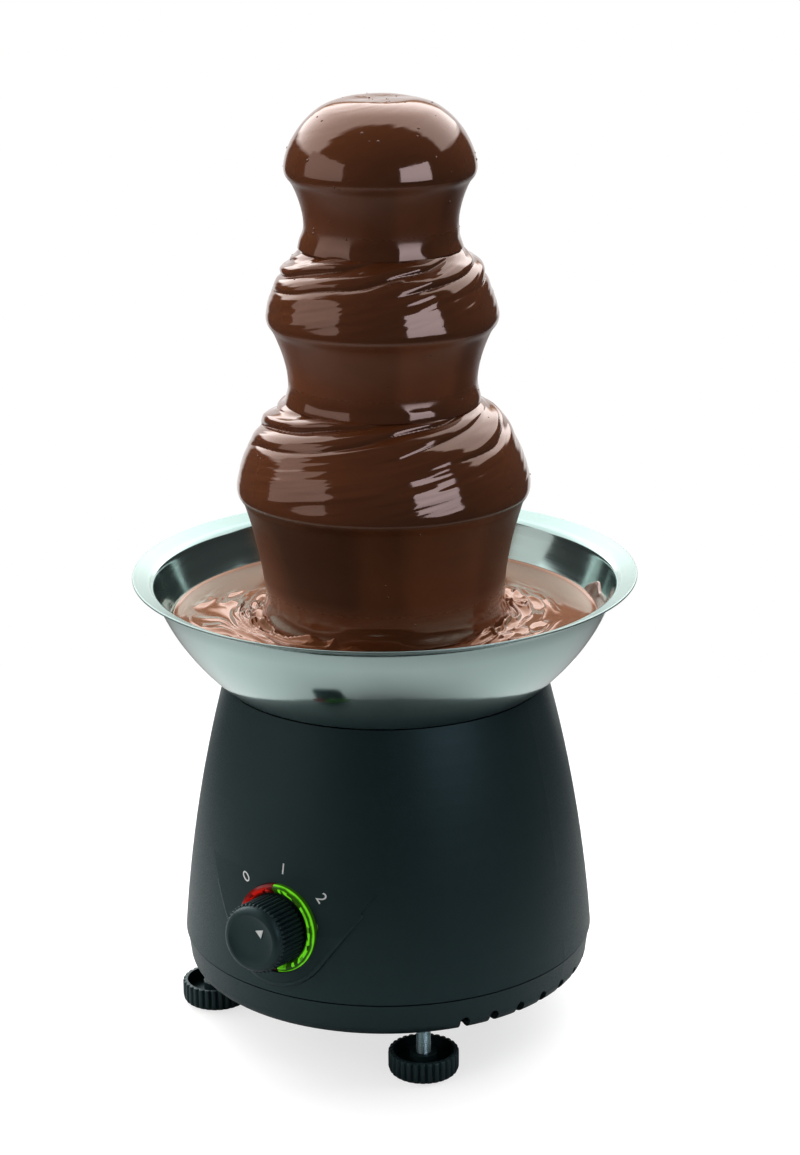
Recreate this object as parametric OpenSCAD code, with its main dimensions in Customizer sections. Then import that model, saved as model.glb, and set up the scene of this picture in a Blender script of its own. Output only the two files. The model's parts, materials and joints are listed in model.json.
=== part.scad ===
// Tabletop chocolate fountain: three-tier tower over a heated steel bowl on a black moulded stand.
// Millimetres, +Z up, origin on the tower axis at table level. The control dial faces -Y.
// Azimuths run from the front (-Y) towards +X.

/* [Stand] */
// Height of the pan's underside above the table
floor_z = 20.5; // [19:0.5:26]
// Outer radius of the pan at the seam
pan_r = 86.7; // [84:0.1:90]
// Height of the pan from its underside to the seam
pan_h = 15; // [12:0.5:20]
// Radius of the pan's rounded lower edge
pan_edge_r = 6; // [3:0.5:8]
// Inward taper of the pan wall from the seam to the lower edge
pan_taper = 1.2; // [0:0.1:2]
// Wall of the pan
pan_wall = 2.4; // [1.8:0.1:3.2]
// Height of the spigot that centres the pan in the housing
spigot_h = 5; // [3:0.5:7]
// Width of a vent slot
vent_w = 4.2; // [2:0.1:4.5]
// Height of a vent slot in the pan wall
vent_h = 6.4; // [3:0.1:7]
// Radial length of a vent slot in the pan floor
vent_l = 9; // [6:0.5:12]
// Vent slots on each side
vent_count = 9; // [3:1:10]
// Angle between vent slots
vent_step = 9.1; // [7.5:0.1:10]

/* [Housing] */
// Radius of the housing at the seam
housing_r = 87.2; // [84:0.1:92]
// Radius of the housing at its top edge
housing_top_r = 68; // [64:0.5:70]
// Outward bulge of the housing side
housing_bulge = 2.6; // [1:0.1:4]
// Wall of the housing
housing_wall = 2.6; // [2:0.1:3.4]
// Shadow gap between the pan and the housing
seam_gap = 0.8; // [0.4:0.1:1.5]
// Inner radius of the bowl seat
seat_r = 44; // [40:0.5:46]
// Width of the seat that the bowl's flat floor rests on
seat_w = 14; // [12:0.5:16]
// Thickness of the bowl seat
seat_t = 2.5; // [2:0.1:4]

/* [Bowl] */
// Radius of the bowl at its rim
bowl_r = 105; // [100:0.5:120]
// Height of the rim's underside above the table
bowl_rim_z = 193.2; // [188:0.1:205]
// Width of the flared lip
lip_w = 8; // [5:0.5:12]
// Drop of the lip from the rim to the bowl wall
lip_drop = 4; // [2:0.5:6]
// Depth of the bowl from the rim to its underside
bowl_depth = 52.2; // [48:0.1:56]
// Outward bulge of the bowl wall
bowl_bulge = 5.2; // [3:0.1:7]
// Sheet thickness of the bowl
bowl_t = 1; // [0.6:0.1:1.6]
// Height of the pegs that locate the tower
peg_h = 4; // [3:0.5:6]
// Diameter of a tower peg
peg_d = 4; // [3:0.5:5]
// Thickness of the bowl gasket
gasket_t = 1.5; // [1:0.1:2.5]

/* [Tower] */
// Outer radius of the tower tube
tube_r = 22; // [20:0.5:23]
// Wall of the tower tube
tube_t = 1.2; // [0.8:0.1:1.8]
// Height of the tube's top edge above the table
tube_top_z = 379; // [374:0.5:382]
// Height of the chocolate inlets at the foot of the tube
inlet_h = 15; // [10:0.5:20]
// Width of a chocolate inlet
inlet_w = 15; // [10:0.5:18]
// Radius of the flange that stands on the bowl floor
flange_r = 31; // [29:0.5:34]
// Sheet thickness of the flange and tiers
tier_t = 1.2; // [0.8:0.1:1.6]
// Rim radius of the lower tier
lower_rim_r = 58.6; // [54:0.2:62]
// Drop of the lower rim below the middle rim
lower_drop = 71; // [66:0.5:76]
// Rim radius of the middle tier
middle_rim_r = 45.4; // [42:0.2:48]
// Drop of the middle rim below the crown's rim
middle_drop = 60; // [56:0.5:64]
// Rim radius of the crown
crown_rim_r = 36.8; // [34:0.2:40]
// Drop of the crown's rim below the tube's top edge
crown_drop = 17; // [15:0.5:21]
// Rise of the lower tier from rim to shoulder
lower_rise = 36; // [32:0.5:38]
// Rise of the middle tier from rim to shoulder
middle_rise = 28; // [26:0.5:30]
// Rise of the crown from rim to mouth
crown_rise = 22.5; // [21:0.5:24]
// Height of the collars that fit over the tube
collar_h = 11; // [8:0.5:14]
// Diameter of the pins that carry the tiers
pin_d = 3; // [2:0.5:4]

/* [Chocolate] */
// Thickness of the coat on the tiers
coat_t = 2; // [1.5:0.1:2.6]
// Thickness of the falling curtains
curtain_t = 2.2; // [1.6:0.1:2.8]
// Height of the pool surface above the table
pool_z = 175; // [168:0.5:180]
// Outer radius of the lower curtain where it meets the pool
lower_fall_r = 49.4; // [46:0.2:54]
// Outer radius of the middle curtain where it meets the lower tier
middle_fall_r = 38.2; // [37:0.1:39]
// Outer radius of the crown curtain where it meets the middle tier
crown_fall_r = 31; // [30:0.1:32]

/* [Dial] */
// Height of the dial centre above the table
dial_z = 64.4; // [60:0.2:70]
// Distance of the dial plane from the tower axis
dial_reach = 86.5; // [86:0.1:88]
// Upward tilt of the dial
dial_tilt = 5; // [3:0.5:8]
// Outer radius of the light ring
ring_r = 18.3; // [17:0.1:20]
// Radial width of the light ring
ring_w = 3.6; // [2.5:0.1:4]
// Depth of the light ring in its pocket
ring_depth = 4; // [3:0.1:4.5]
// Radius of the knob over its flutes
knob_r = 14.4; // [12:0.1:14.6]
// Reach of the knob face from the dial plane
knob_reach = 17.3; // [15:0.1:18]
// Flutes around the knob
knob_flutes = 46; // [36:2:60]
// Depth of a flute
flute_depth = 0.8; // [0.3:0.1:1]
// Diameter of the switch spindle
spindle_d = 6; // [5:0.5:7]

/* [Feet] */
// Distance of the feet from the tower axis
foot_circle_r = 75; // [70:0.5:76]
// Radius of a foot wheel
foot_r = 14.6; // [12:0.1:16]
// Height of a foot from the table to the top of its wheel
foot_h = 10; // [8:0.5:12]
// Grip grooves around a foot wheel
foot_grooves = 30; // [20:1:36]
// Diameter of the threaded stud
stud_d = 6; // [5:0.5:8]
// Height of the stud's tip above the table
stud_top_z = 39; // [36:0.5:44]

/* [Drive] */
// Diameter of the drive shaft
shaft_d = 7; // [6:0.5:8]
// Height of the drive shaft's tip
shaft_top_z = 170; // [166:0.5:176]
// Diameter of the gear motor
motor_d = 60; // [54:1:64]
// Length of the motor can
motor_l = 42; // [36:1:50]
// Height of the gear case
gear_case_h = 18; // [14:0.5:22]
// Offset of the motor from its output shaft
motor_offset = 10; // [6:0.5:12]
// Height of the motor bracket's underside
bracket_z = 122; // [118:0.5:124]
// Outer radius of the auger flight
auger_r = 20.2; // [18:0.1:20.4]
// Pitch of the auger flight
auger_pitch = 28; // [22:1:36]
// Radius of the auger core
auger_core_r = 9.5; // [9:0.1:11]
// Thickness of the auger flight
flight_t = 2.4; // [1.6:0.1:3]

/* [Hidden] */
$fn = 96;

// Clearances shared by all fits
run_gap = 0.05;      // shaft in its bore
slip_gap = 0.2;      // pieces pushed together by hand
film_gap = 0.2;      // chocolate beside metal
rest_gap = 0.3;      // chocolate over chocolate
cut = 1;             // overshoot of cutting tools

// Places round the stand
foot_angles = [43, -54, 174];
screw_angles = [-8, 108, -112];
gland_angle = 180;
stud_angles = [30, 150, 270];
pin_count = 3;
inlet_count = 4;

// Levels
seam_z = floor_z + pan_h;
housing_z = seam_z + seam_gap;
bowl_z = bowl_rim_z - bowl_depth;
lip_r = bowl_r - lip_w;
lip_z = bowl_rim_z - lip_drop;
seat_z = bowl_z - gasket_t;
bowl_in_z = bowl_z + bowl_t;
bowl_floor_r = seat_r + seat_w;
tube_z = bowl_in_z + film_gap;
crown_rim_z = tube_top_z - crown_drop;
middle_rim_z = crown_rim_z - middle_drop;
lower_rim_z = middle_rim_z - lower_drop;
curve_steps = 14;

// Geometry helpers
function unit(v) = v / norm(v);
function reversed(p) = [for (i = [len(p) - 1:-1:0]) p[i]];
function sector(v, from, to) = [for (i = [from:to]) v[i]];

// Arc from a to b that bows out to the right of travel by s
function bow(a, b, s, n = curve_steps) =
    let (d = unit(b - a), side = [d[1], -d[0]], half = norm(b - a) / 2,
         r = (half * half + s * s) / (2 * abs(s)), sweep = asin(half / r), g = sign(s))
    [for (i = [0:n])
        let (t = sweep * (2 * i / n - 1))
        (a + b) / 2 + (s - g * r) * side + g * r * cos(t) * side + r * sin(t) * d];

// Arc about c from angle a0 to a1
function arc(c, r, a0, a1, n = curve_steps) =
    [for (i = [0:n]) let (a = a0 + (a1 - a0) * i / n) c + r * [cos(a), sin(a)]];

// The path moved by d to the right of travel
function shifted(p, d) =
    [for (i = [0:len(p) - 1])
        let (t = unit(p[min(i + 1, len(p) - 1)] - p[max(i - 1, 0)]))
        p[i] + d * [t[1], -t[0]]];

module revolve(points) rotate_extrude() polygon(points);

module at_azimuth(a, r = 0, z = 0) rotate([0, 0, a]) translate([0, -r, z]) children();

module on_dial(w = 0) translate([0, -dial_reach, dial_z]) rotate([90 - dial_tilt, 0, 0])
    translate([0, 0, w]) children();

module ring(r_out, r_in, h) difference() {
    cylinder(r = r_out, h = h);
    translate([0, 0, -cut]) cylinder(r = r_in, h = h + 2 * cut);
}

module hex_nut(r, bore_r, h) difference() {
    cylinder(r = r, h = h, $fn = 6);
    translate([0, 0, -cut]) cylinder(r = bore_r, h = h + 2 * cut);
}

// Bowl side seen in section, from the floor up to the lip
bowl_side = bow([bowl_floor_r, bowl_z], [lip_r, lip_z], bowl_bulge);
bowl_outer = concat([[0, bowl_z]], bowl_side, [[bowl_r, bowl_rim_z]]);
bowl_inner = shifted(bowl_outer, -bowl_t);

// Housing side seen in section; its top edge follows the bowl
housing_top_z = lookup(housing_top_r, bowl_side) - rest_gap;
housing_side = bow([housing_r, housing_z], [housing_top_r, housing_top_z], housing_bulge);
housing_inner = shifted(housing_side, -housing_wall);
function housing_r_at(z) = lookup(z, [for (p = housing_side) [p[1], p[0]]]);
function housing_in_r_at(z) = lookup(z, [for (p = housing_inner) [p[1], p[0]]]);

// Stand

vent_first = 90 - vent_step * (vent_count - 1) / 2;
insert_r = stud_d / 2 + 2.6;
insert_h = 10;
insert_z = floor_z + pan_wall;
foot_boss_r = insert_r + 2.4;
foot_boss_h = insert_h + 2;
screw_r = 66;
screw_hole_r = 2.1;
screw_head_r = 3.8;
screw_boss_r = 6;
screw_seat_z = floor_z + pan_wall + 3;
spigot_t = 1.8;
spigot_r = housing_r - housing_wall - slip_gap - 0.6;
floor_slot_l = 44;
floor_slot_w = 4;
floor_slot_step = 10;

pan_outer = concat(
    [[0, floor_z]],
    arc([pan_r - pan_taper - pan_edge_r, floor_z + pan_edge_r], pan_edge_r, -90, 0, 8),
    [[pan_r, seam_z]]);

module vent_slot() {
    wall_r = pan_r - pan_taper;
    translate([-vent_w / 2, -wall_r - cut, floor_z - cut])
        cube([vent_w, vent_l + cut, vent_h - vent_w / 2 + cut]);
    translate([0, -wall_r - cut, floor_z + vent_h - vent_w / 2])
        rotate([-90, 0, 0]) cylinder(d = vent_w, h = vent_l + cut, $fn = 48);
}

module base_pan() color([0.07, 0.08, 0.08]) difference() {
    union() {
        revolve(concat(pan_outer, [[pan_r - pan_wall, seam_z]],
            reversed(sector(shifted(pan_outer, -pan_wall), 0, len(pan_outer) - 2))));
        // Spigot inside the housing, joined to the pan wall below the seam
        translate([0, 0, seam_z - 4]) ring(spigot_r, spigot_r - spigot_t, spigot_h + 4);
        translate([0, 0, seam_z - 4]) ring(pan_r - pan_wall + 0.5, spigot_r - spigot_t, 3);
        for (a = foot_angles)
            at_azimuth(a, foot_circle_r, floor_z + pan_wall / 2)
                cylinder(r = foot_boss_r, h = pan_wall / 2 + foot_boss_h);
        for (a = screw_angles)
            at_azimuth(a, screw_r, floor_z) cylinder(r = screw_boss_r, h = seam_z - floor_z);
    }
    for (side = [0, 180], i = [0:vent_count - 1])
        rotate([0, 0, side + vent_first + i * vent_step]) vent_slot();
    for (i = [-2:2])
        translate([-floor_slot_l / 2, i * floor_slot_step - floor_slot_w / 2, floor_z - cut])
            cube([floor_slot_l, floor_slot_w, pan_wall + 2 * cut]);
    for (a = foot_angles) at_azimuth(a, foot_circle_r, 0) {
        translate([0, 0, floor_z - cut]) cylinder(d = stud_d + 1, h = pan_wall + foot_boss_h + 2 * cut);
        translate([0, 0, insert_z]) cylinder(r = insert_r, h = insert_h);
    }
    for (a = screw_angles) at_azimuth(a, screw_r, 0) {
        translate([0, 0, floor_z - cut]) cylinder(r = screw_hole_r, h = pan_h + 2 * cut);
        translate([0, 0, floor_z - cut])
            cylinder(r = screw_head_r + slip_gap, h = screw_seat_z - floor_z + cut);
    }
}

screw_l = 18;
post_h = 15;
screw_grip_r = 1.5;

module pan_screws() color("silver") for (a = screw_angles) at_azimuth(a, screw_r, screw_seat_z) {
    translate([0, 0, -2.2]) difference() {
        cylinder(r1 = screw_head_r - 0.8, r2 = screw_head_r, h = 2.2);
        for (turn = [0, 90]) rotate([0, 0, turn]) translate([-2.2, -0.4, -cut]) cube([4.4, 0.8, 1 + cut]);
    }
    cylinder(r = screw_grip_r, h = screw_l);
}

module foot_inserts() color("goldenrod") for (a = foot_angles)
    at_azimuth(a, foot_circle_r, insert_z) ring(insert_r, stud_d / 2 + run_gap, insert_h);

// Raised control panel: a skin that stands proud at its foot and fades into the housing above
panel_r = 23.4;
panel_flare = 33;
panel_up = 30;
panel_foot_z = dial_z - panel_r;
panel_proud = 2.4;
panel_fade_z = dial_z + 20;
panel_skin = [
    [housing_r_at(panel_foot_z - 2) + panel_proud, panel_foot_z - 2],
    [housing_r_at(dial_z) + panel_proud * 0.6, dial_z],
    [housing_r_at(panel_fade_z), panel_fade_z],
    [housing_r_at(panel_fade_z + 12) - 1, panel_fade_z + 12]
];
panel_arc = arc([0, 0], panel_r, 180 + panel_flare, 360 - panel_flare, 20);
panel_out = panel_arc[len(panel_arc) - 1][0] + (panel_up + panel_r * sin(panel_flare)) * tan(panel_flare);

module control_panel() intersection() {
    translate([0, 0, dial_z]) rotate([90, 0, 0]) linear_extrude(dial_reach + 20)
        polygon(concat(panel_arc, [[panel_out, panel_up], [-panel_out, panel_up]]));
    revolve(concat(panel_skin, reversed([for (p = panel_skin) [p[0] - housing_wall, p[1]]])));
}

// Inner disc that thickens the wall behind the dial
backing_r = ring_r + 3;
backing_t = 3.4;
dial_back = -ring_depth - backing_t;
neck_r = 4.4;
lamp_r = 2.5;
lamp_l = 8;
lamp_angles = [-60, 78];
gland_z = 58;
gland_hole_r = 6;
gland_pad_r = 10.5;
gland_face = housing_r_at(gland_z - gland_pad_r) + 0.3;

module dial_backing() intersection() {
    on_dial(dial_back) cylinder(r = backing_r, h = backing_t + 2);
    revolve(concat([[0, housing_z]], housing_side, [[0, housing_top_z]]));
}

module screw_posts() for (a = screw_angles) at_azimuth(a) difference() {
    union() {
        translate([0, -screw_r, seam_z]) cylinder(r = screw_boss_r - 1, h = post_h);
        translate([-1.2, -housing_in_r_at(seam_z + post_h) - 0.8, seam_z + spigot_h + 1])
            cube([2.4, housing_in_r_at(seam_z + post_h) + 0.8 - screw_r, post_h - spigot_h - 1]);
    }
    translate([0, -screw_r, seam_z - cut]) cylinder(r = screw_grip_r, h = post_h);
}

module housing() color([0.08, 0.09, 0.09]) difference() {
    union() {
        revolve(concat(housing_side,
            [[housing_top_r - housing_wall, lookup(housing_top_r - housing_wall, bowl_side) - rest_gap]],
            reversed(sector(housing_inner, 0, len(housing_inner) - 2))));
        translate([0, 0, seat_z - seat_t]) ring(housing_in_r_at(seat_z) + 0.8, seat_r, seat_t);
        control_panel();
        dial_backing();
        screw_posts();
        // Flat pad for the cord gland
        at_azimuth(gland_angle, 0, gland_z) rotate([90, 0, 0])
            translate([0, 0, housing_in_r_at(gland_z + gland_pad_r)])
                cylinder(r = gland_pad_r, h = gland_face - housing_in_r_at(gland_z + gland_pad_r));
    }
    on_dial(-ring_depth) cylinder(r = ring_r + slip_gap, h = 20);
    on_dial(dial_back - 6) cylinder(r = neck_r, h = 20);
    for (a = lamp_angles) on_dial(dial_back - 6) rotate([0, 0, -a])
        translate([0, ring_r - ring_w / 2, 0]) cylinder(r = lamp_r + slip_gap, h = 20, $fn = 48);
    at_azimuth(gland_angle, 0, gland_z) rotate([90, 0, 0]) cylinder(r = gland_hole_r, h = gland_face + cut);
    for (a = stud_angles) at_azimuth(a, stud_ring_r, seat_z - seat_t - cut)
        cylinder(r = bowl_stud_r + slip_gap, h = seat_t + 2 * cut);
}

// Cord gland at the back of the housing; its bore takes a 6.6 mm flex
gland_bore_r = 3.4;
gland_flange_r = 9;
gland_flange_t = 2.5;
gland_nose_l = 6;
gland_tail = housing_in_r_at(gland_z + gland_flange_r) - 8;

module cord_gland() color([0.06, 0.06, 0.06]) at_azimuth(gland_angle, 0, gland_z) rotate([90, 0, 0])
    difference() {
        union() {
            translate([0, 0, gland_tail]) cylinder(r = gland_hole_r - slip_gap, h = gland_face - gland_tail + cut);
            translate([0, 0, gland_face]) cylinder(r = gland_flange_r, h = gland_flange_t);
            translate([0, 0, gland_face + gland_flange_t])
                cylinder(r1 = gland_flange_r - 2, r2 = gland_bore_r + 2.2, h = gland_nose_l);
        }
        translate([0, 0, gland_tail - cut])
            cylinder(r = gland_bore_r, h = gland_face - gland_tail + gland_flange_t + gland_nose_l + 2 * cut);
    }

gland_nut_t = 4;

module gland_nut() color([0.06, 0.06, 0.06]) at_azimuth(gland_angle, gland_tail + gland_nut_t + 1, gland_z)
    rotate([-90, 0, 0]) hex_nut(9, gland_hole_r - slip_gap, gland_nut_t);

// Bowl and heater

stud_ring_r = seat_r + seat_w / 2;
gasket_inset = 2;
bowl_stud_r = 2;
bowl_stud_z = bracket_z - 7;
post_r = 7;
post_top_z = 158;
peg_ring_r = flange_r - 4;

module bowl() color([0.75, 0.78, 0.78]) {
    difference() {
        revolve(concat(bowl_outer, reversed(bowl_inner)));
        translate([0, 0, bowl_z - cut]) cylinder(r = post_r + slip_gap / 2, h = bowl_t + 2 * cut);
    }
    for (a = stud_angles) at_azimuth(a, stud_ring_r, bowl_stud_z)
        cylinder(r = bowl_stud_r, h = bowl_z + bowl_t / 2 - bowl_stud_z);
    for (i = [0:pin_count - 1]) at_azimuth(i * 360 / pin_count, peg_ring_r, bowl_z + bowl_t / 2)
        cylinder(d = peg_d, h = peg_h + bowl_t / 2);
}

module bowl_gasket() color([0.25, 0.25, 0.25]) difference() {
    translate([0, 0, seat_z]) ring(bowl_floor_r - gasket_inset, seat_r + gasket_inset, gasket_t);
    for (a = stud_angles) at_azimuth(a, stud_ring_r, seat_z - cut)
        cylinder(r = bowl_stud_r + slip_gap, h = gasket_t + 2 * cut);
}

bracket_t = 2;
bracket_r = stud_ring_r + 6;
nut_h = 3.2;

module bowl_nuts() color("silver") for (a = stud_angles)
    at_azimuth(a, stud_ring_r, bracket_z - nut_h) hex_nut(4, bowl_stud_r + run_gap, nut_h);

heater_t = 4;
heater_z = bowl_z - heater_t;
post_nut_h = 5;
post_nut_r = 12;
post_flange_r = 12;
post_flange_t = 2.4;
post_z = heater_z - post_nut_h - 4;

module shaft_post() color([0.7, 0.72, 0.73]) difference() {
    union() {
        translate([0, 0, post_z]) cylinder(r = post_r, h = post_top_z - post_z);
        translate([0, 0, bowl_in_z]) cylinder(r = post_flange_r, h = post_flange_t);
    }
    translate([0, 0, post_z - cut]) cylinder(r = shaft_d / 2 + run_gap, h = post_top_z - post_z + 2 * cut);
}

module post_nut() color("silver") translate([0, 0, heater_z - post_nut_h])
    hex_nut(post_nut_r, post_r + run_gap, post_nut_h);

seal_h = 2.5;

module shaft_seal() color([0.8, 0.3, 0.2]) translate([0, 0, post_top_z])
    ring(post_r - 0.5, shaft_d / 2 + run_gap, seal_h);

module heater_plate() color([0.7, 0.7, 0.7]) translate([0, 0, heater_z])
    ring(seat_r - 1, post_r + slip_gap / 2, heater_t);

element_r = 3.5;
element_ring_r = 33;
element_sweep = 300;
element_pin_l = 7;
element_z = heater_z - element_r;

module heating_element() color([0.35, 0.32, 0.3]) translate([0, 0, element_z]) {
    rotate([0, 0, 90 + (360 - element_sweep) / 2]) rotate_extrude(angle = element_sweep)
        translate([element_ring_r, 0]) circle(r = element_r, $fn = 48);
    for (a = [-1, 1]) rotate([0, 0, 180 + a * (360 - element_sweep) / 2]) translate([0, -element_ring_r, 0])
        rotate([0, -a * 90, 0]) cylinder(r = element_r - 1, h = element_pin_l, $fn = 48);
}

thermostat_r = 6.4;
thermostat_h = 6;

thermostat_ring_r = (post_nut_r + element_ring_r - element_r) / 2;
tab_t = 0.8;
tab_l = 4;

module thermostat() color([0.5, 0.4, 0.3]) at_azimuth(0, thermostat_ring_r, heater_z - thermostat_h) {
    cylinder(r = thermostat_r, h = thermostat_h);
    for (x = [-3.5, 3.5]) translate([x - tab_t / 2, -1.5, -tab_l]) cube([tab_t, 3, tab_l + 0.5]);
}

// Drive

module motor_bracket() color([0.6, 0.62, 0.63]) translate([0, 0, bracket_z]) difference() {
    cylinder(r = bracket_r, h = bracket_t);
    translate([0, 0, -cut]) cylinder(r = post_r + 6, h = bracket_t + 2 * cut);
    for (a = stud_angles) at_azimuth(a, stud_ring_r, -cut)
        cylinder(r = bowl_stud_r + slip_gap, h = bracket_t + 2 * cut);
    for (x = motor_screw_x) translate([x, motor_offset, -cut])
        cylinder(r = motor_screw_r + slip_gap, h = bracket_t + 2 * cut);
    // Cooling windows between the studs
    for (a = [90, 210, 330]) at_azimuth(a, stud_ring_r - 8, -cut)
        translate([-14, -4, 0]) cube([28, 8, bracket_t + 2 * cut]);
}

module bracket_spacers() color("silver") for (a = stud_angles)
    at_azimuth(a, stud_ring_r, bracket_z + bracket_t)
        ring(4, bowl_stud_r + slip_gap, seat_z - seat_t - bracket_z - bracket_t);

motor_screw_r = 2;
motor_screw_x = [-motor_d / 2 + 5, motor_d / 2 - 5];
motor_screw_l = 12;
case_rib = 1.5;

module gear_case() color([0.62, 0.6, 0.55]) translate([0, motor_offset, bracket_z - gear_case_h])
    difference() {
        union() {
            cylinder(d = motor_d, h = gear_case_h);
            cylinder(d = motor_d + 2 * case_rib, h = 4);
        }
        translate([0, -motor_offset, shaft_z - bracket_z + gear_case_h])
            cylinder(d = shaft_d + 2 * run_gap, h = gear_case_h);
        for (x = motor_screw_x) translate([x, 0, gear_case_h + bracket_t - motor_screw_l])
            cylinder(r = motor_screw_r, h = motor_screw_l);
    }

module motor_can() color([0.5, 0.52, 0.54])
    translate([0, motor_offset, bracket_z - gear_case_h - motor_l]) difference() {
        union() {
            cylinder(d = motor_d - 2, h = motor_l);
            translate([0, 0, -2]) cylinder(d = motor_d / 2, h = 3);
            translate([-9, motor_d / 2 - 4, 10]) cube([18, 8, 14]);
        }
        for (a = [0:45:315]) rotate([0, 0, a]) translate([motor_d / 2 - 9, -1.5, -cut]) cube([5, 3, 3 + cut]);
    }

module motor_screws() color("silver") for (x = motor_screw_x)
    translate([x, motor_offset, bracket_z + bracket_t]) {
        cylinder(r = motor_screw_r + 1.6, h = 2.4);
        translate([0, 0, -motor_screw_l]) cylinder(r = motor_screw_r, h = motor_screw_l);
    }

shaft_z = bracket_z - gear_case_h + 3;
drive_flat = shaft_d / 2 - 1;
socket_z = post_top_z + seal_h + 1.5;

module drive_shaft() color("silver") difference() {
    translate([0, 0, shaft_z]) cylinder(d = shaft_d, h = shaft_top_z - shaft_z);
    translate([drive_flat, -shaft_d, socket_z]) cube([shaft_d, 2 * shaft_d, shaft_top_z]);
}

auger_z = bowl_in_z + post_flange_t + 2;
auger_top_z = tube_top_z - 1.5;
hollow_r = post_r + 0.9;
flight_steps = 24;
flight_root_r = auger_core_r - 1;
flight_z0 = auger_z + 1;
flight_turns = (auger_top_z - 5 - flight_t - flight_z0) / auger_pitch;
flight_rings = ceil(flight_turns * flight_steps);
flight_points = [for (i = [0:flight_rings]) let (a = 360 * flight_turns * i / flight_rings,
    z = flight_z0 + auger_pitch * flight_turns * i / flight_rings)
    for (c = [[flight_root_r, 0], [auger_r, 0], [auger_r, flight_t], [flight_root_r, flight_t]])
        [c[0] * cos(a), c[0] * sin(a), z + c[1]]];
flight_sides = [for (i = [0:flight_rings - 1], k = [0:3])
    let (a = 4 * i + k, b = 4 * i + (k + 1) % 4) each [[a, b, b + 4], [a, b + 4, a + 4]]];
flight_ends = [[3, 2, 1], [3, 1, 0],
    [4 * flight_rings, 4 * flight_rings + 1, 4 * flight_rings + 2],
    [4 * flight_rings, 4 * flight_rings + 2, 4 * flight_rings + 3]];
flight_faces = concat(flight_sides, flight_ends);

module auger() color([0.88, 0.87, 0.83]) difference() {
    union() {
        translate([0, 0, auger_z]) cylinder(r = auger_core_r, h = auger_top_z - auger_z - 3);
        translate([0, 0, auger_top_z - 3]) cylinder(r1 = auger_core_r, r2 = auger_core_r - 3, h = 3);
        polyhedron(flight_points, flight_faces);
    }
    translate([0, 0, auger_z - cut]) cylinder(r = hollow_r, h = socket_z - auger_z + cut);
    difference() {
        translate([0, 0, socket_z - cut])
            cylinder(d = shaft_d + 2 * slip_gap, h = shaft_top_z - socket_z + 2 * cut);
        translate([drive_flat + slip_gap, -shaft_d, socket_z - 2 * cut])
            cube([shaft_d, 2 * shaft_d, shaft_top_z - socket_z + 4 * cut]);
    }
}

// Tower

tube_in_r = tube_r - tube_t;
collar_r = tube_r + slip_gap;
collar_t = tier_t;
collar_out_r = collar_r + collar_t;
pin_reach = collar_out_r - tube_r + 0.4;
lower_shoulder = [middle_fall_r - 3.4, lower_rim_z + lower_rise];
middle_shoulder = [crown_fall_r - 2.4, middle_rim_z + middle_rise];
crown_mouth = [collar_r, crown_rim_z + crown_rise];
lower_bulge = 5;
middle_bulge = 3.2;
crown_bulge = 3;

// Metal outlines of the domes, from the shoulder down to the rim
lower_dome = bow(lower_shoulder, [lower_rim_r, lower_rim_z], -lower_bulge);
middle_dome = bow(middle_shoulder, [middle_rim_r, middle_rim_z], -middle_bulge);
crown_dome = bow(crown_mouth, [crown_rim_r, crown_rim_z], -crown_bulge);
lower_collar_z = lower_shoulder[1] - collar_h + 2;
middle_collar_z = middle_shoulder[1] - collar_h + 2;
crown_collar_z = crown_mouth[1] - collar_h - 4;

module tier_pins(z) for (i = [0:pin_count - 1])
    at_azimuth(i * 360 / pin_count, 0, z - pin_d / 2) rotate([90, 0, 0]) translate([0, 0, tube_r - tube_t / 2])
        cylinder(d = pin_d, h = tube_t / 2 + pin_reach, $fn = 48);

inlet_z = tube_z + tier_t + 0.6;

module tower_tube() color([0.75, 0.76, 0.76]) difference() {
    union() {
        translate([0, 0, tube_z]) ring(tube_r, tube_in_r, tube_top_z - tube_z);
        translate([0, 0, tube_z]) ring(flange_r, tube_in_r, tier_t);
        for (z = [lower_collar_z, middle_collar_z, crown_collar_z]) tier_pins(z);
    }
    for (i = [0:inlet_count - 1]) at_azimuth(45 + i * 360 / inlet_count, 0, 0) {
        translate([-inlet_w / 2, -tube_r - cut, inlet_z]) cube([inlet_w, tube_r, inlet_h - inlet_w / 2]);
        translate([0, 0, inlet_z + inlet_h - inlet_w / 2]) rotate([90, 0, 0])
            cylinder(d = inlet_w, h = tube_r + cut);
    }
    for (i = [0:pin_count - 1]) at_azimuth(i * 360 / pin_count, peg_ring_r, tube_z - cut)
        cylinder(d = peg_d + 2 * slip_gap, h = tier_t + 2 * cut);
}

// A tier pressed from sheet: dome, web to the collar, and notches that pass the pins above
module tier(dome, collar_z) difference() {
    union() {
        revolve(concat([[collar_r, dome[0][1] + 1]], dome,
            reversed(shifted(dome, tier_t)), [[collar_r, dome[0][1] + 1 - tier_t]]));
        translate([0, 0, collar_z]) ring(collar_out_r, collar_r, dome[0][1] + 1 - tier_t / 2 - collar_z);
    }
    for (i = [0:pin_count - 1]) at_azimuth(60 + i * 360 / pin_count, collar_r - cut, collar_z - cut)
        translate([-pin_d / 2 - slip_gap, -pin_reach - cut - 0.2, 0])
            cube([pin_d + 2 * slip_gap, pin_reach + cut, collar_h * 2]);
}

module lower_tier() color([0.75, 0.76, 0.76]) tier(lower_dome, lower_collar_z);

module middle_tier() color([0.75, 0.76, 0.76]) tier(middle_dome, middle_collar_z);

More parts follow.
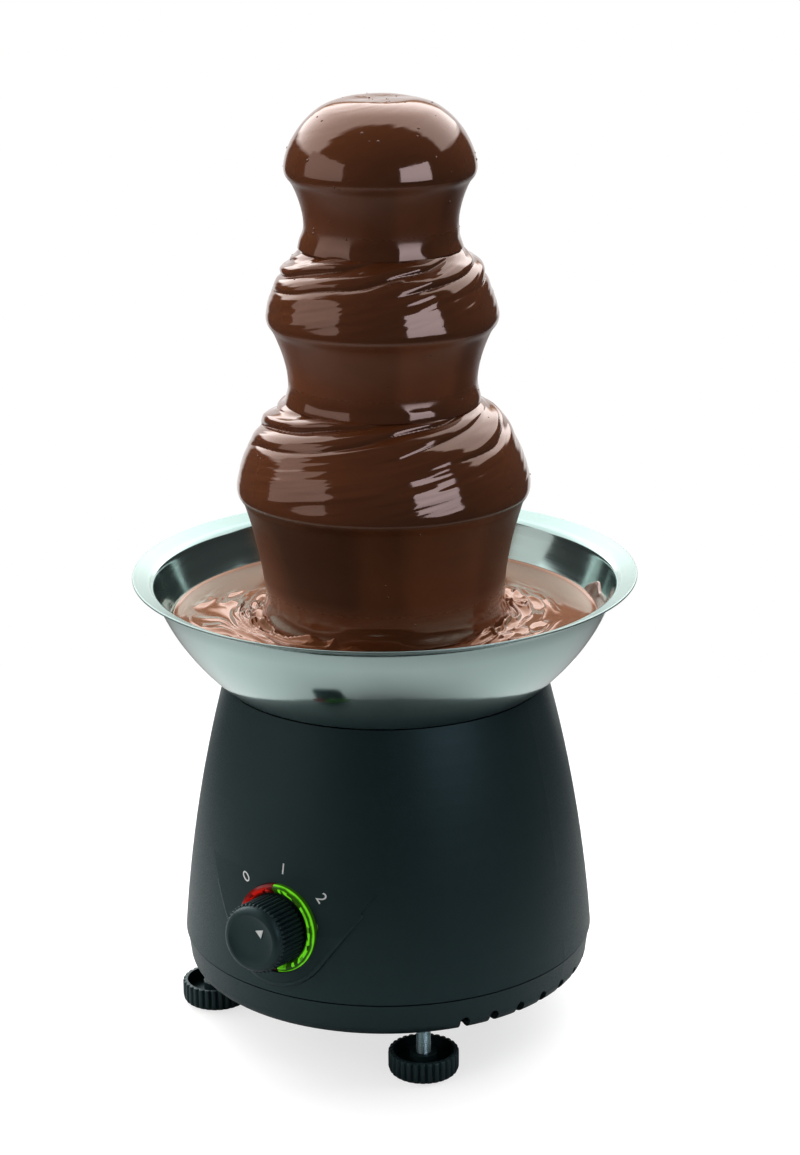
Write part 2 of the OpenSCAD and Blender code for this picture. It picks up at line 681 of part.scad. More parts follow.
module crown() color([0.75, 0.76, 0.76]) {
    revolve(concat(crown_dome, reversed(shifted(crown_dome, tier_t))));
    translate([0, 0, crown_collar_z])
        ring(collar_out_r, collar_r, crown_mouth[1] - tier_t / 2 - crown_collar_z);
}

// Chocolate

lip_in = 3.2;
lip_turn = -72;
fall_hollow = 1.6;

// Section of a coat that wraps over a rim and falls as a curtain to the point [fall_r, fall_z]
function coat_outer(dome) = shifted(dome, -coat_t);
function lip_outer(rim) = arc([rim[0] - lip_in, rim[1]], lip_in + coat_t, 0, lip_turn, 8);
function fall_outer(rim, fall) = bow(lip_outer(rim)[8], fall, fall_hollow);
function flow_section(dome, fall) =
    let (rim = dome[len(dome) - 1], curtain = fall_outer(rim, fall))
    concat(sector(coat_outer(dome), 0, len(dome) - 2), lip_outer(rim), sector(curtain, 1, len(curtain) - 1),
        reversed(sector(shifted(curtain, curtain_t), 2, len(curtain) - 1)),
        [[rim[0] - tier_t - 0.4, rim[1] - 0.8], [rim[0] + film_gap, rim[1] - 0.6]],
        reversed(shifted(dome, -film_gap)));

lower_fall = [lower_fall_r, pool_z + rest_gap];
middle_fall = [middle_fall_r, lookup(middle_fall_r, coat_outer(lower_dome)) + rest_gap + 1.4];
crown_fall = [crown_fall_r, lookup(crown_fall_r, coat_outer(middle_dome)) + rest_gap + 1.4];

module lower_flow() color([0.24, 0.1, 0.05]) revolve(flow_section(lower_dome, lower_fall));

module middle_flow() color([0.24, 0.1, 0.05]) revolve(flow_section(middle_dome, middle_fall));

well_rise = 5.7;
well_r = 13;
well_bulge = 0.5;
well_z = crown_mouth[1] + well_rise;
plug_z = auger_top_z + 0.6;

// The coat of the crown, closed over the tube's mouth by the chocolate that wells up through it
module crown_flow() color([0.24, 0.1, 0.05]) {
    section = flow_section(crown_dome, crown_fall);
    swell = bow([well_r, well_z], section[0], -well_bulge);
    revolve(concat([[0, well_z]], sector(swell, 0, len(swell) - 2), section,
        [[collar_r - tube_t - 2 * film_gap, crown_mouth[1]],
         [tube_in_r - film_gap, tube_top_z], [tube_in_r - film_gap, plug_z], [0, plug_z]]));
}

pool_in_r = flange_r + 0.5;
pool_bed = shifted(sector(bowl_inner, 1, len(bowl_inner) - 2), -film_gap);
pool_edge = [for (p = pool_bed) if (p[1] < pool_z - 0.5) p];
pool_r = lookup(pool_z, [for (p = pool_bed) [p[1], p[0]]]);

module chocolate_pool() color([0.28, 0.13, 0.07])
    revolve(concat([[pool_in_r, pool_edge[0][1]]], pool_edge, [[pool_r, pool_z], [pool_in_r, pool_z]]));

// Dial

ring_lip = 0.9;
ring_split = 6;
ring_joint = 0.6;

module light_ring(start) on_dial() rotate([0, 0, start + ring_joint / 2])
    rotate_extrude(angle = 180 - ring_joint) polygon([
        [ring_r - ring_w, -ring_depth], [ring_r, -ring_depth], [ring_r, -ring_lip],
        [ring_r - ring_lip, 0], [ring_r - 2 * ring_lip, 0], [ring_r - ring_w, -ring_lip - 0.5]
    ]);

module light_ring_green() color([0.35, 0.8, 0.1]) light_ring(ring_split - 90);

module light_ring_red() color([0.8, 0.08, 0.05]) light_ring(ring_split + 90);

module indicator_lamps() color([0.9, 0.9, 0.85]) for (a = lamp_angles)
    on_dial(-ring_depth - lamp_l) rotate([0, 0, -a]) translate([0, ring_r - ring_w / 2, 0])
        cylinder(r = lamp_r, h = lamp_l - slip_gap, $fn = 48);

switch_w = 22;
switch_h = 14;
switch_front = dial_back - rest_gap;
neck_front = -1.6;

module rotary_switch() color([0.12, 0.12, 0.12]) difference() {
    on_dial() union() {
        translate([-switch_w / 2, -switch_w / 2, switch_front - switch_h])
            cube([switch_w, switch_w, switch_h]);
        translate([0, 0, switch_front - cut])
            cylinder(r = neck_r - slip_gap, h = neck_front - switch_front + cut);
        for (x = [-7, 0, 7]) translate([x - 1.2, -tab_t / 2, switch_front - switch_h - 7])
            cube([2.4, tab_t, 7.5]);
    }
    on_dial(switch_front - 4) cylinder(d = spindle_d + 2 * run_gap, h = 30);
}

switch_nut_t = 2;

module switch_nut() color("silver") on_dial(-ring_depth)
    hex_nut(7, neck_r - slip_gap + run_gap, switch_nut_t);

knob_foot = 0.6;
knob_edge_r = 2.6;
knob_cavity_r = 10.5;
knob_cavity_l = 7;
spindle_l = 12.5;
dish_r = knob_r - knob_edge_r - 0.4;
dish_depth = 1;
dish_sphere_r = (dish_r * dish_r + dish_depth * dish_depth) / (2 * dish_depth);
// One flute as shares of its pitch, with the share of the flute's depth at each
flute_form = [[0, 0], [0.5, 0], [0.65, 1], [0.85, 1]];
flute_points = [for (i = [0:knob_flutes - 1], f = flute_form)
    let (r = knob_r - f[1] * flute_depth, a = 360 * (i + f[0]) / knob_flutes) r * [cos(a), sin(a)]];

// The flutes run out through the rounded shoulder, which leaves a scalloped edge
module knob() color([0.07, 0.08, 0.08]) difference() {
    on_dial() difference() {
        intersection() {
            translate([0, 0, knob_foot]) linear_extrude(knob_reach - knob_foot) polygon(flute_points);
            revolve(concat([[0, knob_foot], [knob_r, knob_foot]],
                arc([knob_r - knob_edge_r, knob_reach - knob_edge_r], knob_edge_r, 0, 90, 10),
                [[0, knob_reach]]));
        }
        translate([0, 0, knob_reach - dish_depth + dish_sphere_r]) sphere(r = dish_sphere_r, $fn = 192);
        translate([0, 0, knob_foot - cut]) cylinder(r = knob_cavity_r, h = knob_cavity_l + cut);
        cylinder(d = spindle_d + 2 * run_gap, h = spindle_l + slip_gap);
    }
    on_dial() pointer_mark(slip_gap / 4);
}

pointer_a = 45;
pointer_r = 5.5;
pointer_size = 2.2;
pointer_t = 0.7;
pointer_z = knob_reach - dish_depth * (1 - pointer_r * pointer_r / (dish_r * dish_r));

module pointer_mark(grow = 0) rotate([0, 0, -pointer_a]) translate([0, pointer_r, pointer_z - pointer_t])
    rotate([0, 0, 90]) cylinder(r = pointer_size + grow, h = pointer_t + (grow > 0 ? cut : 0), $fn = 3);

module knob_pointer() color("white") on_dial() pointer_mark();

module switch_spindle() color("silver") on_dial(switch_front - 3.5)
    cylinder(d = spindle_d, h = spindle_l - switch_front + 3.5);

block_size = [30, 14, 12];
block_r = 44;
block_angle = 135;

// Terminal block on the pan floor where the mains flex is joined
module terminal_block() color([0.85, 0.85, 0.82]) at_azimuth(block_angle, block_r, floor_z + pan_wall)
    difference() {
        translate([-block_size[0] / 2, -block_size[1] / 2, 0]) cube(block_size);
        for (x = [-10, 0, 10], y = [-4, 4]) translate([x, y, block_size[2] - 4])
            cylinder(r = 2, h = 4 + cut, $fn = 48);
    }

// Feet

pad_r = 11;
pad_t = 2;
pad_proud = 0.8;
pad_pin_r = 2;
pad_pin_h = 2;
wheel_z = pad_proud;
wheel_floor_z = 4.6;
wheel_wall = 2;
hub_r = stud_d / 2 + 2.6;
hub_top_z = foot_h - 1;
groove_r = 0.9;
wheel_edge = 1.2;
stud_z = wheel_floor_z;

module at_foot(k) at_azimuth(foot_angles[k], foot_circle_r) children();

module foot_pad(k) color([0.1, 0.1, 0.1]) at_foot(k) {
    cylinder(r = pad_r, h = pad_t);
    cylinder(r = pad_pin_r, h = pad_t + pad_pin_h);
}

module foot_wheel(k) color([0.06, 0.07, 0.07]) at_foot(k) difference() {
    intersection() {
        translate([0, 0, wheel_z]) linear_extrude(foot_h - wheel_z) difference() {
            circle(r = foot_r);
            for (i = [0:foot_grooves - 1]) rotate(i * 360 / foot_grooves)
                translate([foot_r + groove_r / 3, 0]) circle(r = groove_r, $fn = 24);
        }
        // Rounded lower edge and chamfered top edge
        revolve([[0, wheel_z], [foot_r - wheel_edge, wheel_z], [foot_r, wheel_z + 2 * wheel_edge],
            [foot_r, foot_h - 0.5], [foot_r - 0.5, foot_h], [0, foot_h]]);
    }
    translate([0, 0, wheel_floor_z]) ring(foot_r - wheel_wall, hub_r, foot_h);
    translate([0, 0, hub_top_z]) cylinder(r = hub_r + cut, h = foot_h);
    translate([0, 0, wheel_z - cut]) cylinder(r = pad_r + run_gap, h = pad_t - wheel_z + cut);
    translate([0, 0, pad_t - cut]) cylinder(r = pad_pin_r + run_gap, h = pad_pin_h + cut + run_gap);
    translate([0, 0, stud_z]) cylinder(d = stud_d, h = foot_h);
}

module foot_stud(k) color("silver") at_foot(k) {
    translate([0, 0, stud_z]) cylinder(d = stud_d, h = stud_top_z - stud_z - 1);
    translate([0, 0, stud_top_z - 1]) cylinder(d1 = stud_d, d2 = stud_d - 2, h = 1);
}

base_pan();
pan_screws();
foot_inserts();
housing();
cord_gland();
gland_nut();
bowl();
bowl_gasket();
bowl_nuts();
shaft_post();
post_nut();
shaft_seal();
heater_plate();
heating_element();
thermostat();
motor_bracket();
bracket_spacers();
gear_case();
motor_can();
motor_screws();
rotary_switch();
switch_nut();
light_ring_red();
light_ring_green();
indicator_lamps();
terminal_block();
chocolate_pool();
knob();
knob_pointer();
switch_spindle();
drive_shaft();
auger();
tower_tube();
lower_tier();
middle_tier();
crown();
lower_flow();
middle_flow();
crown_flow();
for (k = [0:2]) {
    foot_pad(k);
    foot_wheel(k);
    foot_stud(k);
}
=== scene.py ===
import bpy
import json
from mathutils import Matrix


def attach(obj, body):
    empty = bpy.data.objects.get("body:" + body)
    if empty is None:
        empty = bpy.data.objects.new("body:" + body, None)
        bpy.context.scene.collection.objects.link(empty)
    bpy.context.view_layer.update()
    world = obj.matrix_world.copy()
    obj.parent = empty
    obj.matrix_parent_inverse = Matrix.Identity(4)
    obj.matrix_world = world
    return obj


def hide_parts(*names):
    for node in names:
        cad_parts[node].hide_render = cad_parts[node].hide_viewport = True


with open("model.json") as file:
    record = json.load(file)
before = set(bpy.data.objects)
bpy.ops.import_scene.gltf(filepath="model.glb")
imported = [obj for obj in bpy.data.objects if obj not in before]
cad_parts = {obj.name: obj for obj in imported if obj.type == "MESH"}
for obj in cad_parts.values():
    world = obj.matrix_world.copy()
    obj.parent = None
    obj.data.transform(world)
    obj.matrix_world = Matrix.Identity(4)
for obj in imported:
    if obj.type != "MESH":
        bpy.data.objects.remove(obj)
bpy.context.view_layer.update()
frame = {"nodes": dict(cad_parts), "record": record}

import json
import math
import bpy
import bmesh
import numpy as np
from mathutils import Matrix, Vector
from mathutils.bvhtree import BVHTree

scene = bpy.context.scene
fullTurn = 2 * math.pi


def addObject(name, data):
    thing = bpy.data.objects.new(name, data)
    scene.collection.objects.link(thing)
    return thing


# Camera where the photo was taken from, right of the dial and a little above the bowl
view = {"azimuth": 32.0, "tilt": 17.88, "roll": -0.5, "distance": 1.134, "height": 0.5559, "aside": 0.0063,
        "lens": 89.1, "sensor": 36.0}
viewTurn = math.radians(view["azimuth"])
turnToView = Matrix.Rotation(viewTurn, 4, "Z")   # x to the right, -y towards the camera


def addCamera():
    data = bpy.data.cameras.new("photoCamera")
    data.sensor_fit = "VERTICAL"
    data.sensor_height = view["sensor"]
    data.lens = view["lens"]
    camera = addObject("photoCamera", data)
    stand = turnToView @ Matrix.Translation((view["aside"], -view["distance"], view["height"]))
    pitch = Matrix.Rotation(math.radians(90 - view["tilt"]), 4, "X")
    camera.matrix_world = stand @ pitch @ Matrix.Rotation(math.radians(view["roll"]), 4, "Z")
    scene.camera = camera


addCamera()
scene.view_settings.view_transform = "Standard"
print("camera set")

# Dial: its place on the housing, the radii and the wall of its lens ring, and its printed figures
dial = {"centre": (0, -0.0865, 0.0644), "tilt": 5.0, "lens": (0.0147, 0.0183), "wall": (-0.0019, -0.0012),
        "figures": (("0", -46), ("1", 2), ("2", 50)), "reach": 0.0246, "size": 0.0066, "lift": 0.00004,
        "above": 0.02}
dialTurn = math.pi / 2 - math.radians(dial["tilt"])
dialFacing = Matrix.Translation(dial["centre"]) @ Matrix.Rotation(dialTurn, 4, "X")   # x right, y up, z out
dialOut = (dialFacing.to_3x3() @ Vector((0, 0, 1))).normalized()


# Node helpers, which every finish and the studio are built from
def feed(tree, socket, value):
    if hasattr(value, "is_output"):
        tree.links.new(value, socket)
    else:
        socket.default_value = value


def newFinish(name, **sockets):
    finish = bpy.data.materials.new(name)
    finish.use_nodes = True
    shader = finish.node_tree.nodes["Principled BSDF"]
    for socket, value in sockets.items():
        shader.inputs[socket].default_value = value
    return finish, finish.node_tree, shader


def addNode(tree, kind, settings=None, **sockets):
    node = tree.nodes.new(kind)
    for key, value in (settings or {}).items():
        setattr(node, key, value)
    for socket, value in sockets.items():
        feed(tree, node.inputs[socket], value)
    return node


def blendOf(tree, operation, one, two):
    node = addNode(tree, "ShaderNodeMath", {"operation": operation})
    feed(tree, node.inputs[0], one)
    feed(tree, node.inputs[1], two)
    return node.outputs["Value"]


def product(tree, first, *others):
    for other in others:
        first = blendOf(tree, "MULTIPLY", first, other)
    return first


def tintBy(tree, colour, level):
    settings = {"data_type": "RGBA", "blend_type": "MULTIPLY"}
    return addNode(tree, "ShaderNodeMix", settings, Factor=1.0, A=colour, B=level).outputs["Result"]


def placeOn(tree, kind="Object"):
    return addNode(tree, "ShaderNodeTexCoord").outputs[kind]


def objectCoords(tree, stretch=(1, 1, 1)):
    return addNode(tree, "ShaderNodeMapping", Vector=placeOn(tree), Scale=stretch).outputs["Vector"]


def splitPlace(tree, place):
    # The parts of a place, the place without its height, and its distance from the axis
    parts = addNode(tree, "ShaderNodeSeparateXYZ", Vector=place).outputs
    flat = addNode(tree, "ShaderNodeCombineXYZ", X=parts["X"], Y=parts["Y"]).outputs["Vector"]
    return parts, flat, lengthOf(tree, flat)


def lengthOf(tree, place):
    return addNode(tree, "ShaderNodeVectorMath", {"operation": "LENGTH"}, Vector=place).outputs["Value"]


def rayIs(tree, kind):
    return addNode(tree, "ShaderNodeLightPath").outputs[f"Is {kind} Ray"]


def noiseOn(tree, coords, scale, detail=3.0, rough=0.55):
    return addNode(tree, "ShaderNodeTexNoise", Vector=coords, Scale=scale, Detail=detail,
                   Roughness=rough).outputs["Fac"]


def spread(tree, value, low, high, fromLow=0.3, fromHigh=0.7):
    node = addNode(tree, "ShaderNodeMapRange", Value=value)
    ends = (("From Min", fromLow), ("From Max", fromHigh), ("To Min", low), ("To Max", high))
    for socket, end in ends:
        node.inputs[socket].default_value = end
    return node.outputs["Result"]


def colourRamp(tree, value, stops):
    node = addNode(tree, "ShaderNodeValToRGB", Fac=value)
    ramp = node.color_ramp
    while len(ramp.elements) < len(stops):
        ramp.elements.new(0.5)
    for element, (place, colour) in zip(ramp.elements, stops):
        element.position = place
        element.color = (*colour, 1)
    return node.outputs["Color"]


def twoTones(tree, value, dark, light):
    return colourRamp(tree, value, [(0.3, dark), (0.7, light)])


def bumpOn(tree, shader, height, distance):
    node = addNode(tree, "ShaderNodeBump", Height=height, Distance=distance, Strength=1.0)
    tree.links.new(node.outputs["Normal"], shader.inputs["Normal"])


# Plain finish: cloudy in tone, with a fine grain
def grainyFinish(name, dark, light, rough, cloud, grain, depth, metal=0.0, **sockets):
    finish, tree, shader = newFinish(name, Metallic=metal, **sockets)
    coords = objectCoords(tree)
    clouds = noiseOn(tree, coords, cloud, 4.0)
    fine = noiseOn(tree, coords, grain, 2.0)
    tree.links.new(twoTones(tree, clouds, dark, light), shader.inputs["Base Color"])
    tree.links.new(spread(tree, fine, *rough), shader.inputs["Roughness"])
    bumpOn(tree, shader, fine, depth)
    return finish


# Spun sheet: fine rings round the axis, with a slow change of tone between them; the bowl's lip is duller,
# and its colour is painted darker there as painted shade that dims its reflection
spun = {"rings": 900.0, "clouds": 14.0, "depth": 0.000006, "rough": (0.07, 0.16),
        "lipPaintedShadeFrom": (0.094, 0.099), "lipPaintedShade": 0.62, "satinFrom": (0.0965, 0.0985), "satin": 0.24}


def turnedSteel(name, dark, light):
    finish, tree, shader = newFinish(name, Metallic=1.0)
    parts, _, radius = splitPlace(tree, placeOn(tree))
    rings = addNode(tree, "ShaderNodeCombineXYZ", X=radius, Y=parts["Z"]).outputs["Vector"]
    lines = noiseOn(tree, rings, spun["rings"], 4.0, 0.7)
    clouds = noiseOn(tree, objectCoords(tree), spun["clouds"])
    # painted shade: the lip's colour is darkened towards the rim to dim its reflection
    lipPaintedShade = spread(tree, radius, 1.0, spun["lipPaintedShade"], *spun["lipPaintedShadeFrom"])
    tree.links.new(tintBy(tree, twoTones(tree, clouds, dark, light), lipPaintedShade), shader.inputs["Base Color"])
    satin = spread(tree, radius, 0.0, spun["satin"], *spun["satinFrom"])
    rough = blendOf(tree, "ADD", spread(tree, lines, *spun["rough"]), satin)
    tree.links.new(rough, shader.inputs["Roughness"])
    bumpOn(tree, shader, lines, spun["depth"])
    return finish


# Chocolate: glossy where it lies; the falling curtains, marked on the mesh, shine less and carry painted
# light: their tone is painted lighter or darker, with painted reflection bands
melt = {"inside": 0.12, "tints": (1.0, 0.4, 0.2), "reach": 0.002, "stretch": (1, 1, 2.2), "clouds": 26.0,
        "grain": 420.0, "depth": 0.000006, "rough": (0.05, 0.1), "fallRough": 0.5, "specular": (0.5, 0.03),
        "fallMost": 2.0}


def chocolateFinish(name, dark, light, index, tint, falls):
    finish, tree, shader = newFinish(name, **{
        "IOR": index, "Specular Tint": (*tint, 1), "Subsurface Weight": melt["inside"],
        "Subsurface Radius": melt["tints"], "Subsurface Scale": melt["reach"]})
    coords = objectCoords(tree, melt["stretch"])
    clouds = noiseOn(tree, coords, melt["clouds"], 4.0, 0.6)
    fine = noiseOn(tree, coords, melt["grain"], 2.0)
    base = twoTones(tree, clouds, dark, light)
    rough = spread(tree, fine, *melt["rough"])
    if falls:
        fall, paintedLight = [addNode(tree, "ShaderNodeAttribute", {"attribute_name": label}).outputs["Fac"]
                      for label in ("fall", "paintedLight")]
        base = tintBy(tree, base, spread(tree, paintedLight, 0.0, 3.0, -1.0, 2.0))    # a level of 0 keeps the colour; higher paints the curtain lighter and lower paints it darker, as painted light
        rough = blendOf(tree, "ADD", rough, spread(tree, fall, 0.0, melt["fallRough"], 0, melt["fallMost"]))
        specular = spread(tree, fall, *melt["specular"], 0, melt["fallMost"])
        tree.links.new(specular, shader.inputs["Specular IOR Level"])
    tree.links.new(base, shader.inputs["Base Color"])
    tree.links.new(rough, shader.inputs["Roughness"])
    bumpOn(tree, shader, fine, melt["depth"])
    return finish


# Clear prism ring lit from behind: bright lines that run round the dial, broken by dark facets
prism = {"rough": 0.14, "index": 1.25, "blotches": 210.0, "wander": 0.25, "across": 0.8, "facets": 470.0,
         "depth": 0.0002, "dim": 0.04, "broken": (0.25, 0.6), "rim": (0.72, 0.8), "wallGlow": 0.05,
         "mirrored": 0.1}


def litLens(name, body, stops, glow, lit):
    finish, tree, shader = newFinish(name, **{"Base Color": (*body, 1), "Roughness": prism["rough"],
                                              "IOR": prism["index"]})
    turned = addNode(tree, "ShaderNodeMapping", {"vector_type": "TEXTURE"}, Vector=placeOn(tree),
                     Location=dial["centre"], Rotation=(dialTurn, 0, 0)).outputs["Vector"]
    parts, flat, radius = splitPlace(tree, turned)
    wander = product(tree, noiseOn(tree, flat, prism["blotches"], 3.0, 0.6), prism["wander"])
    line = blendOf(tree, "ADD", wander, spread(tree, radius, 0, prism["across"], *dial["lens"]))
    tree.links.new(colourRamp(tree, line, stops), shader.inputs["Emission Color"])
    cells = addNode(tree, "ShaderNodeTexVoronoi", Vector=flat, Scale=prism["facets"]).outputs["Color"]
    facets = addNode(tree, "ShaderNodeSeparateColor", Color=cells).outputs["Red"]
    broken = spread(tree, facets, prism["dim"] * glow, glow, *prism["broken"])
    rim = spread(tree, spread(tree, radius, 0, 1, *dial["lens"]), 0, glow, *prism["rim"])
    level = blendOf(tree, "MAXIMUM", broken, rim)                    # the outer edge shines all along
    # Dark on the wall behind the front edge and below the lit part, and too weak to show in the bowl
    level = product(tree, level, spread(tree, parts["Z"], prism["wallGlow"], 1, *dial["wall"]),
                    spread(tree, parts["Y"], 0, 1, *lit),
                    spread(tree, rayIs(tree, "Glossy"), 1, prism["mirrored"], 0, 1))
    tree.links.new(level, shader.inputs["Emission Strength"])
    bumpOn(tree, shader, facets, prism["depth"])
    return finish


# One finish for each material slot of the record: first the plain ones, as name, darker and lighter colour,
# roughness, scales of the clouds and of the grain, depth of the grain and how metallic
grains = {
    "zinc_steel": ("zincPlate", (0.50, 0.51, 0.52), (0.66, 0.66, 0.65), (0.22, 0.36), 120, 900,
                   0.00001, 1.0),
    "brass": ("brassInsert", (0.55, 0.40, 0.16), (0.70, 0.53, 0.24), (0.24, 0.38), 90, 700, 0.00001, 1.0),
    "black_rubber": ("mattRubber", (0.011, 0.011, 0.011), (0.022, 0.022, 0.022), (0.7, 0.9), 60, 1300,
                     0.00004),
    "red_silicone": ("redSilicone", (0.36, 0.05, 0.03), (0.46, 0.08, 0.05), (0.45, 0.6), 80, 900, 0.00002),
    "cast_aluminium": ("castAluminium", (0.46, 0.46, 0.46), (0.6, 0.6, 0.59), (0.38, 0.56), 60, 800,
                       0.00006, 1.0),
    "heater_sheath": ("heaterSheath", (0.06, 0.05, 0.045), (0.13, 0.10, 0.085), (0.4, 0.6), 70, 900,
                      0.00002, 0.6),
    "motor_paint": ("motorPaint", (0.19, 0.20, 0.21), (0.26, 0.27, 0.28), (0.4, 0.55), 50, 900, 0.00003),
    "phenolic": ("brownPhenolic", (0.06, 0.032, 0.016), (0.10, 0.05, 0.026), (0.35, 0.5), 90, 700, 0.00002),
    "cream_plastic": ("creamPlastic", (0.62, 0.57, 0.44), (0.72, 0.67, 0.55), (0.35, 0.5), 60, 900, 0.00002),
    "lamp_glass": ("lampGlass", (0.7, 0.7, 0.62), (0.82, 0.82, 0.74), (0.08, 0.2), 90, 500, 0.00001),
    "white_print": ("whitePrint", (0.62, 0.66, 0.65), (0.76, 0.80, 0.79), (0.5, 0.65), 260, 2200, 0.00001),
    "white_acetal": ("whiteAcetal", (0.47, 0.455, 0.415), (0.55, 0.535, 0.495), (0.25, 0.4), 60, 900,
                     0.00001),
}
finishes = {slot: grainyFinish(*row) for slot, row in grains.items()}
finishes["black_plastic"] = grainyFinish(
    "speckledBlackMoulding", (0.0070, 0.0148, 0.0157), (0.0108, 0.0220, 0.0230), (0.36, 0.52), 9.0, 1500.0,
    0.000035, **{"IOR": 1.55, "Specular IOR Level": 0.42, "Specular Tint": (0.6, 0.95, 1.0, 1)})
finishes["polished_steel"] = turnedSteel("spunSteel", (0.45, 0.590, 0.560), (0.52, 0.670, 0.635))
finishes["red_lens"] = litLens(
    "redLens", (0.10, 0.004, 0.003),
    [(0.10, (0.006, 0.001, 0.001)), (0.28, (0.08, 0.003, 0.002)), (0.42, (0.52, 0.010, 0.005)),
     (0.66, (0.30, 0.006, 0.003)), (0.80, (0.05, 0.002, 0.001))], 0.85, (-0.006, 0.002))
finishes["green_lens"] = litLens(
    "greenLens", (0.03, 0.10, 0.006),
    [(0.10, (0.002, 0.012, 0.001)), (0.24, (0.02, 0.12, 0.003)), (0.36, (0.14, 0.66, 0.012)),
     (0.64, (0.10, 0.52, 0.008)), (0.71, (0.003, 0.025, 0.001)), (0.82, (0.006, 0.05, 0.001)),
     (0.90, (0.13, 0.60, 0.012))], 1.0, (-0.03, -0.025))
finishes["chocolate"] = chocolateFinish(
    "meltedChocolate", (0.084, 0.0247, 0.0083), (0.105, 0.0317, 0.0106), 2.0, (1.0, 0.74, 0.64), True)
studSteel = grainyFinish(
    "studSteel", (0.58, 0.76, 0.80), (0.68, 0.88, 0.92), (0.30, 0.38), 40.0, 300.0, 0.000001, 1.0)
poolPaintedPaler = chocolateFinish(    # the pool, paler from the air in it and painted paler to stand in for more light on it
    "poolPaintedPalerChocolate", (0.105, 0.032, 0.0110), (0.130, 0.040, 0.0140), 1.95, (1.0, 0.50, 0.30), False)


def dressNodes():
    slots = {row["node"]: row["material_slot"] for row in frame["record"]["subparts"]}
    for node, solid in frame["nodes"].items():
        solid.data.materials.clear()
        solid.data.materials.append(finishes[slots[node]])


dressNodes()
print("finishes:", len(finishes))


# Sections: paths of (radius, height) points that are turned round the tower axis
def bowPath(start, end, sag, count=60):
    a, b = np.array(start, float), np.array(end, float)
    half = np.linalg.norm(b - a) / 2
    along = (b - a) / (2 * half)
    side = np.array([along[1], -along[0]])
    radius = (half ** 2 + sag ** 2) / (2 * abs(sag))
    sweep = math.asin(half / radius)
    turn = np.linspace(-sweep, sweep, count)[:, None]
    lean = math.copysign(1, sag)
    centre = (a + b) / 2 + (sag - lean * radius) * side
    return centre + lean * radius * np.cos(turn) * side + radius * np.sin(turn) * along


def arcPath(centre, radius, fromDeg, toDeg, count=40):
    turn = np.radians(np.linspace(fromDeg, toDeg, count))
    return np.array(centre) + radius * np.stack([np.cos(turn), np.sin(turn)], 1)


def evenPath(path, step, touching=1e-7):
    gaps = np.linalg.norm(np.diff(path, axis=0), axis=1)
    path = path[np.concatenate([[True], gaps > touching])]
    run = np.concatenate([[0], np.cumsum(np.linalg.norm(np.diff(path, axis=0), axis=1))])
    places = np.linspace(0, run[-1], max(4, int(run[-1] / step)))
    return np.stack([np.interp(places, run, path[:, 0]), np.interp(places, run, path[:, 1])], 1), places


def easedPath(path, passes):
    path = path.copy()
    for _ in range(passes):
        path[1:-1] = (path[:-2] + 2 * path[1:-1] + path[2:]) / 4
    return path


def outwardOf(path):
    # Unit normals to the left of travel
    slope = np.gradient(path, axis=0)
    slope /= np.linalg.norm(slope, axis=1)[:, None]
    return np.stack([-slope[:, 1], slope[:, 0]], 1)


def smoothStep(low, high, value):
    t = np.clip((value - low) / (high - low), 0, 1)
    return t * t * (3 - 2 * t)


def allRound(count):
    return np.linspace(0, fullTurn, count, endpoint=False)


def signedTurn(azimuth):
    return np.where(azimuth > math.pi, azimuth - fullTurn, azimuth)


def ringOf(radius, height, azimuth):
    # Azimuth runs from the front towards the right
    radius = np.broadcast_to(radius, azimuth.shape)
    return np.stack([radius * np.sin(azimuth), -radius * np.cos(azimuth),
                     np.broadcast_to(height, azimuth.shape)], 1)


def poleAt(height):
    return np.array([[0, 0, height]])


def turnedMesh(name, rows, finish, body, closed=True):
    # rows: one array of (x, y, z) points per ring; a row of one point is a pole
    starts = np.cumsum([0] + [len(row) for row in rows])
    count = max(len(row) for row in rows)
    faces = []
    pairs = [(i, i + 1) for i in range(len(rows) - 1)]
    if closed and len(rows[0]) > 1 and len(rows[-1]) > 1:
        pairs.append((len(rows) - 1, 0))
    around = np.arange(count)
    after = (around + 1) % count
    for i, k in pairs:
        a, b = starts[i], starts[k]
        if len(rows[i]) == 1:
            faces += np.stack([np.full(count, a), b + after, b + around], 1).tolist()
        elif len(rows[k]) == 1:
            faces += np.stack([a + around, a + after, np.full(count, b)], 1).tolist()
        else:
            faces += np.stack([a + around, a + after, b + after, b + around], 1).tolist()
    return finishMesh(name, np.concatenate(rows).tolist(), faces, finish, body)


def finishMesh(name, points, faces, finish, body, smooth=True):
    mesh = bpy.data.meshes.new(name)
    mesh.from_pydata(points, [], faces)
    shell = bmesh.new()
    shell.from_mesh(mesh)
    bmesh.ops.recalc_face_normals(shell, faces=shell.faces)
    shell.to_mesh(mesh)
    shell.free()
    mesh.materials.append(finish)
    mesh.polygons.foreach_set("use_smooth", [smooth] * len(mesh.polygons))
    piece = addObject(name, mesh)
    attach(piece, body)
    return piece


def meshFrom(name, shape, finish):
    mesh = bpy.data.meshes.new(name)
    shape.to_mesh(mesh)
    shape.free()
    mesh.materials.append(finish)
    return mesh


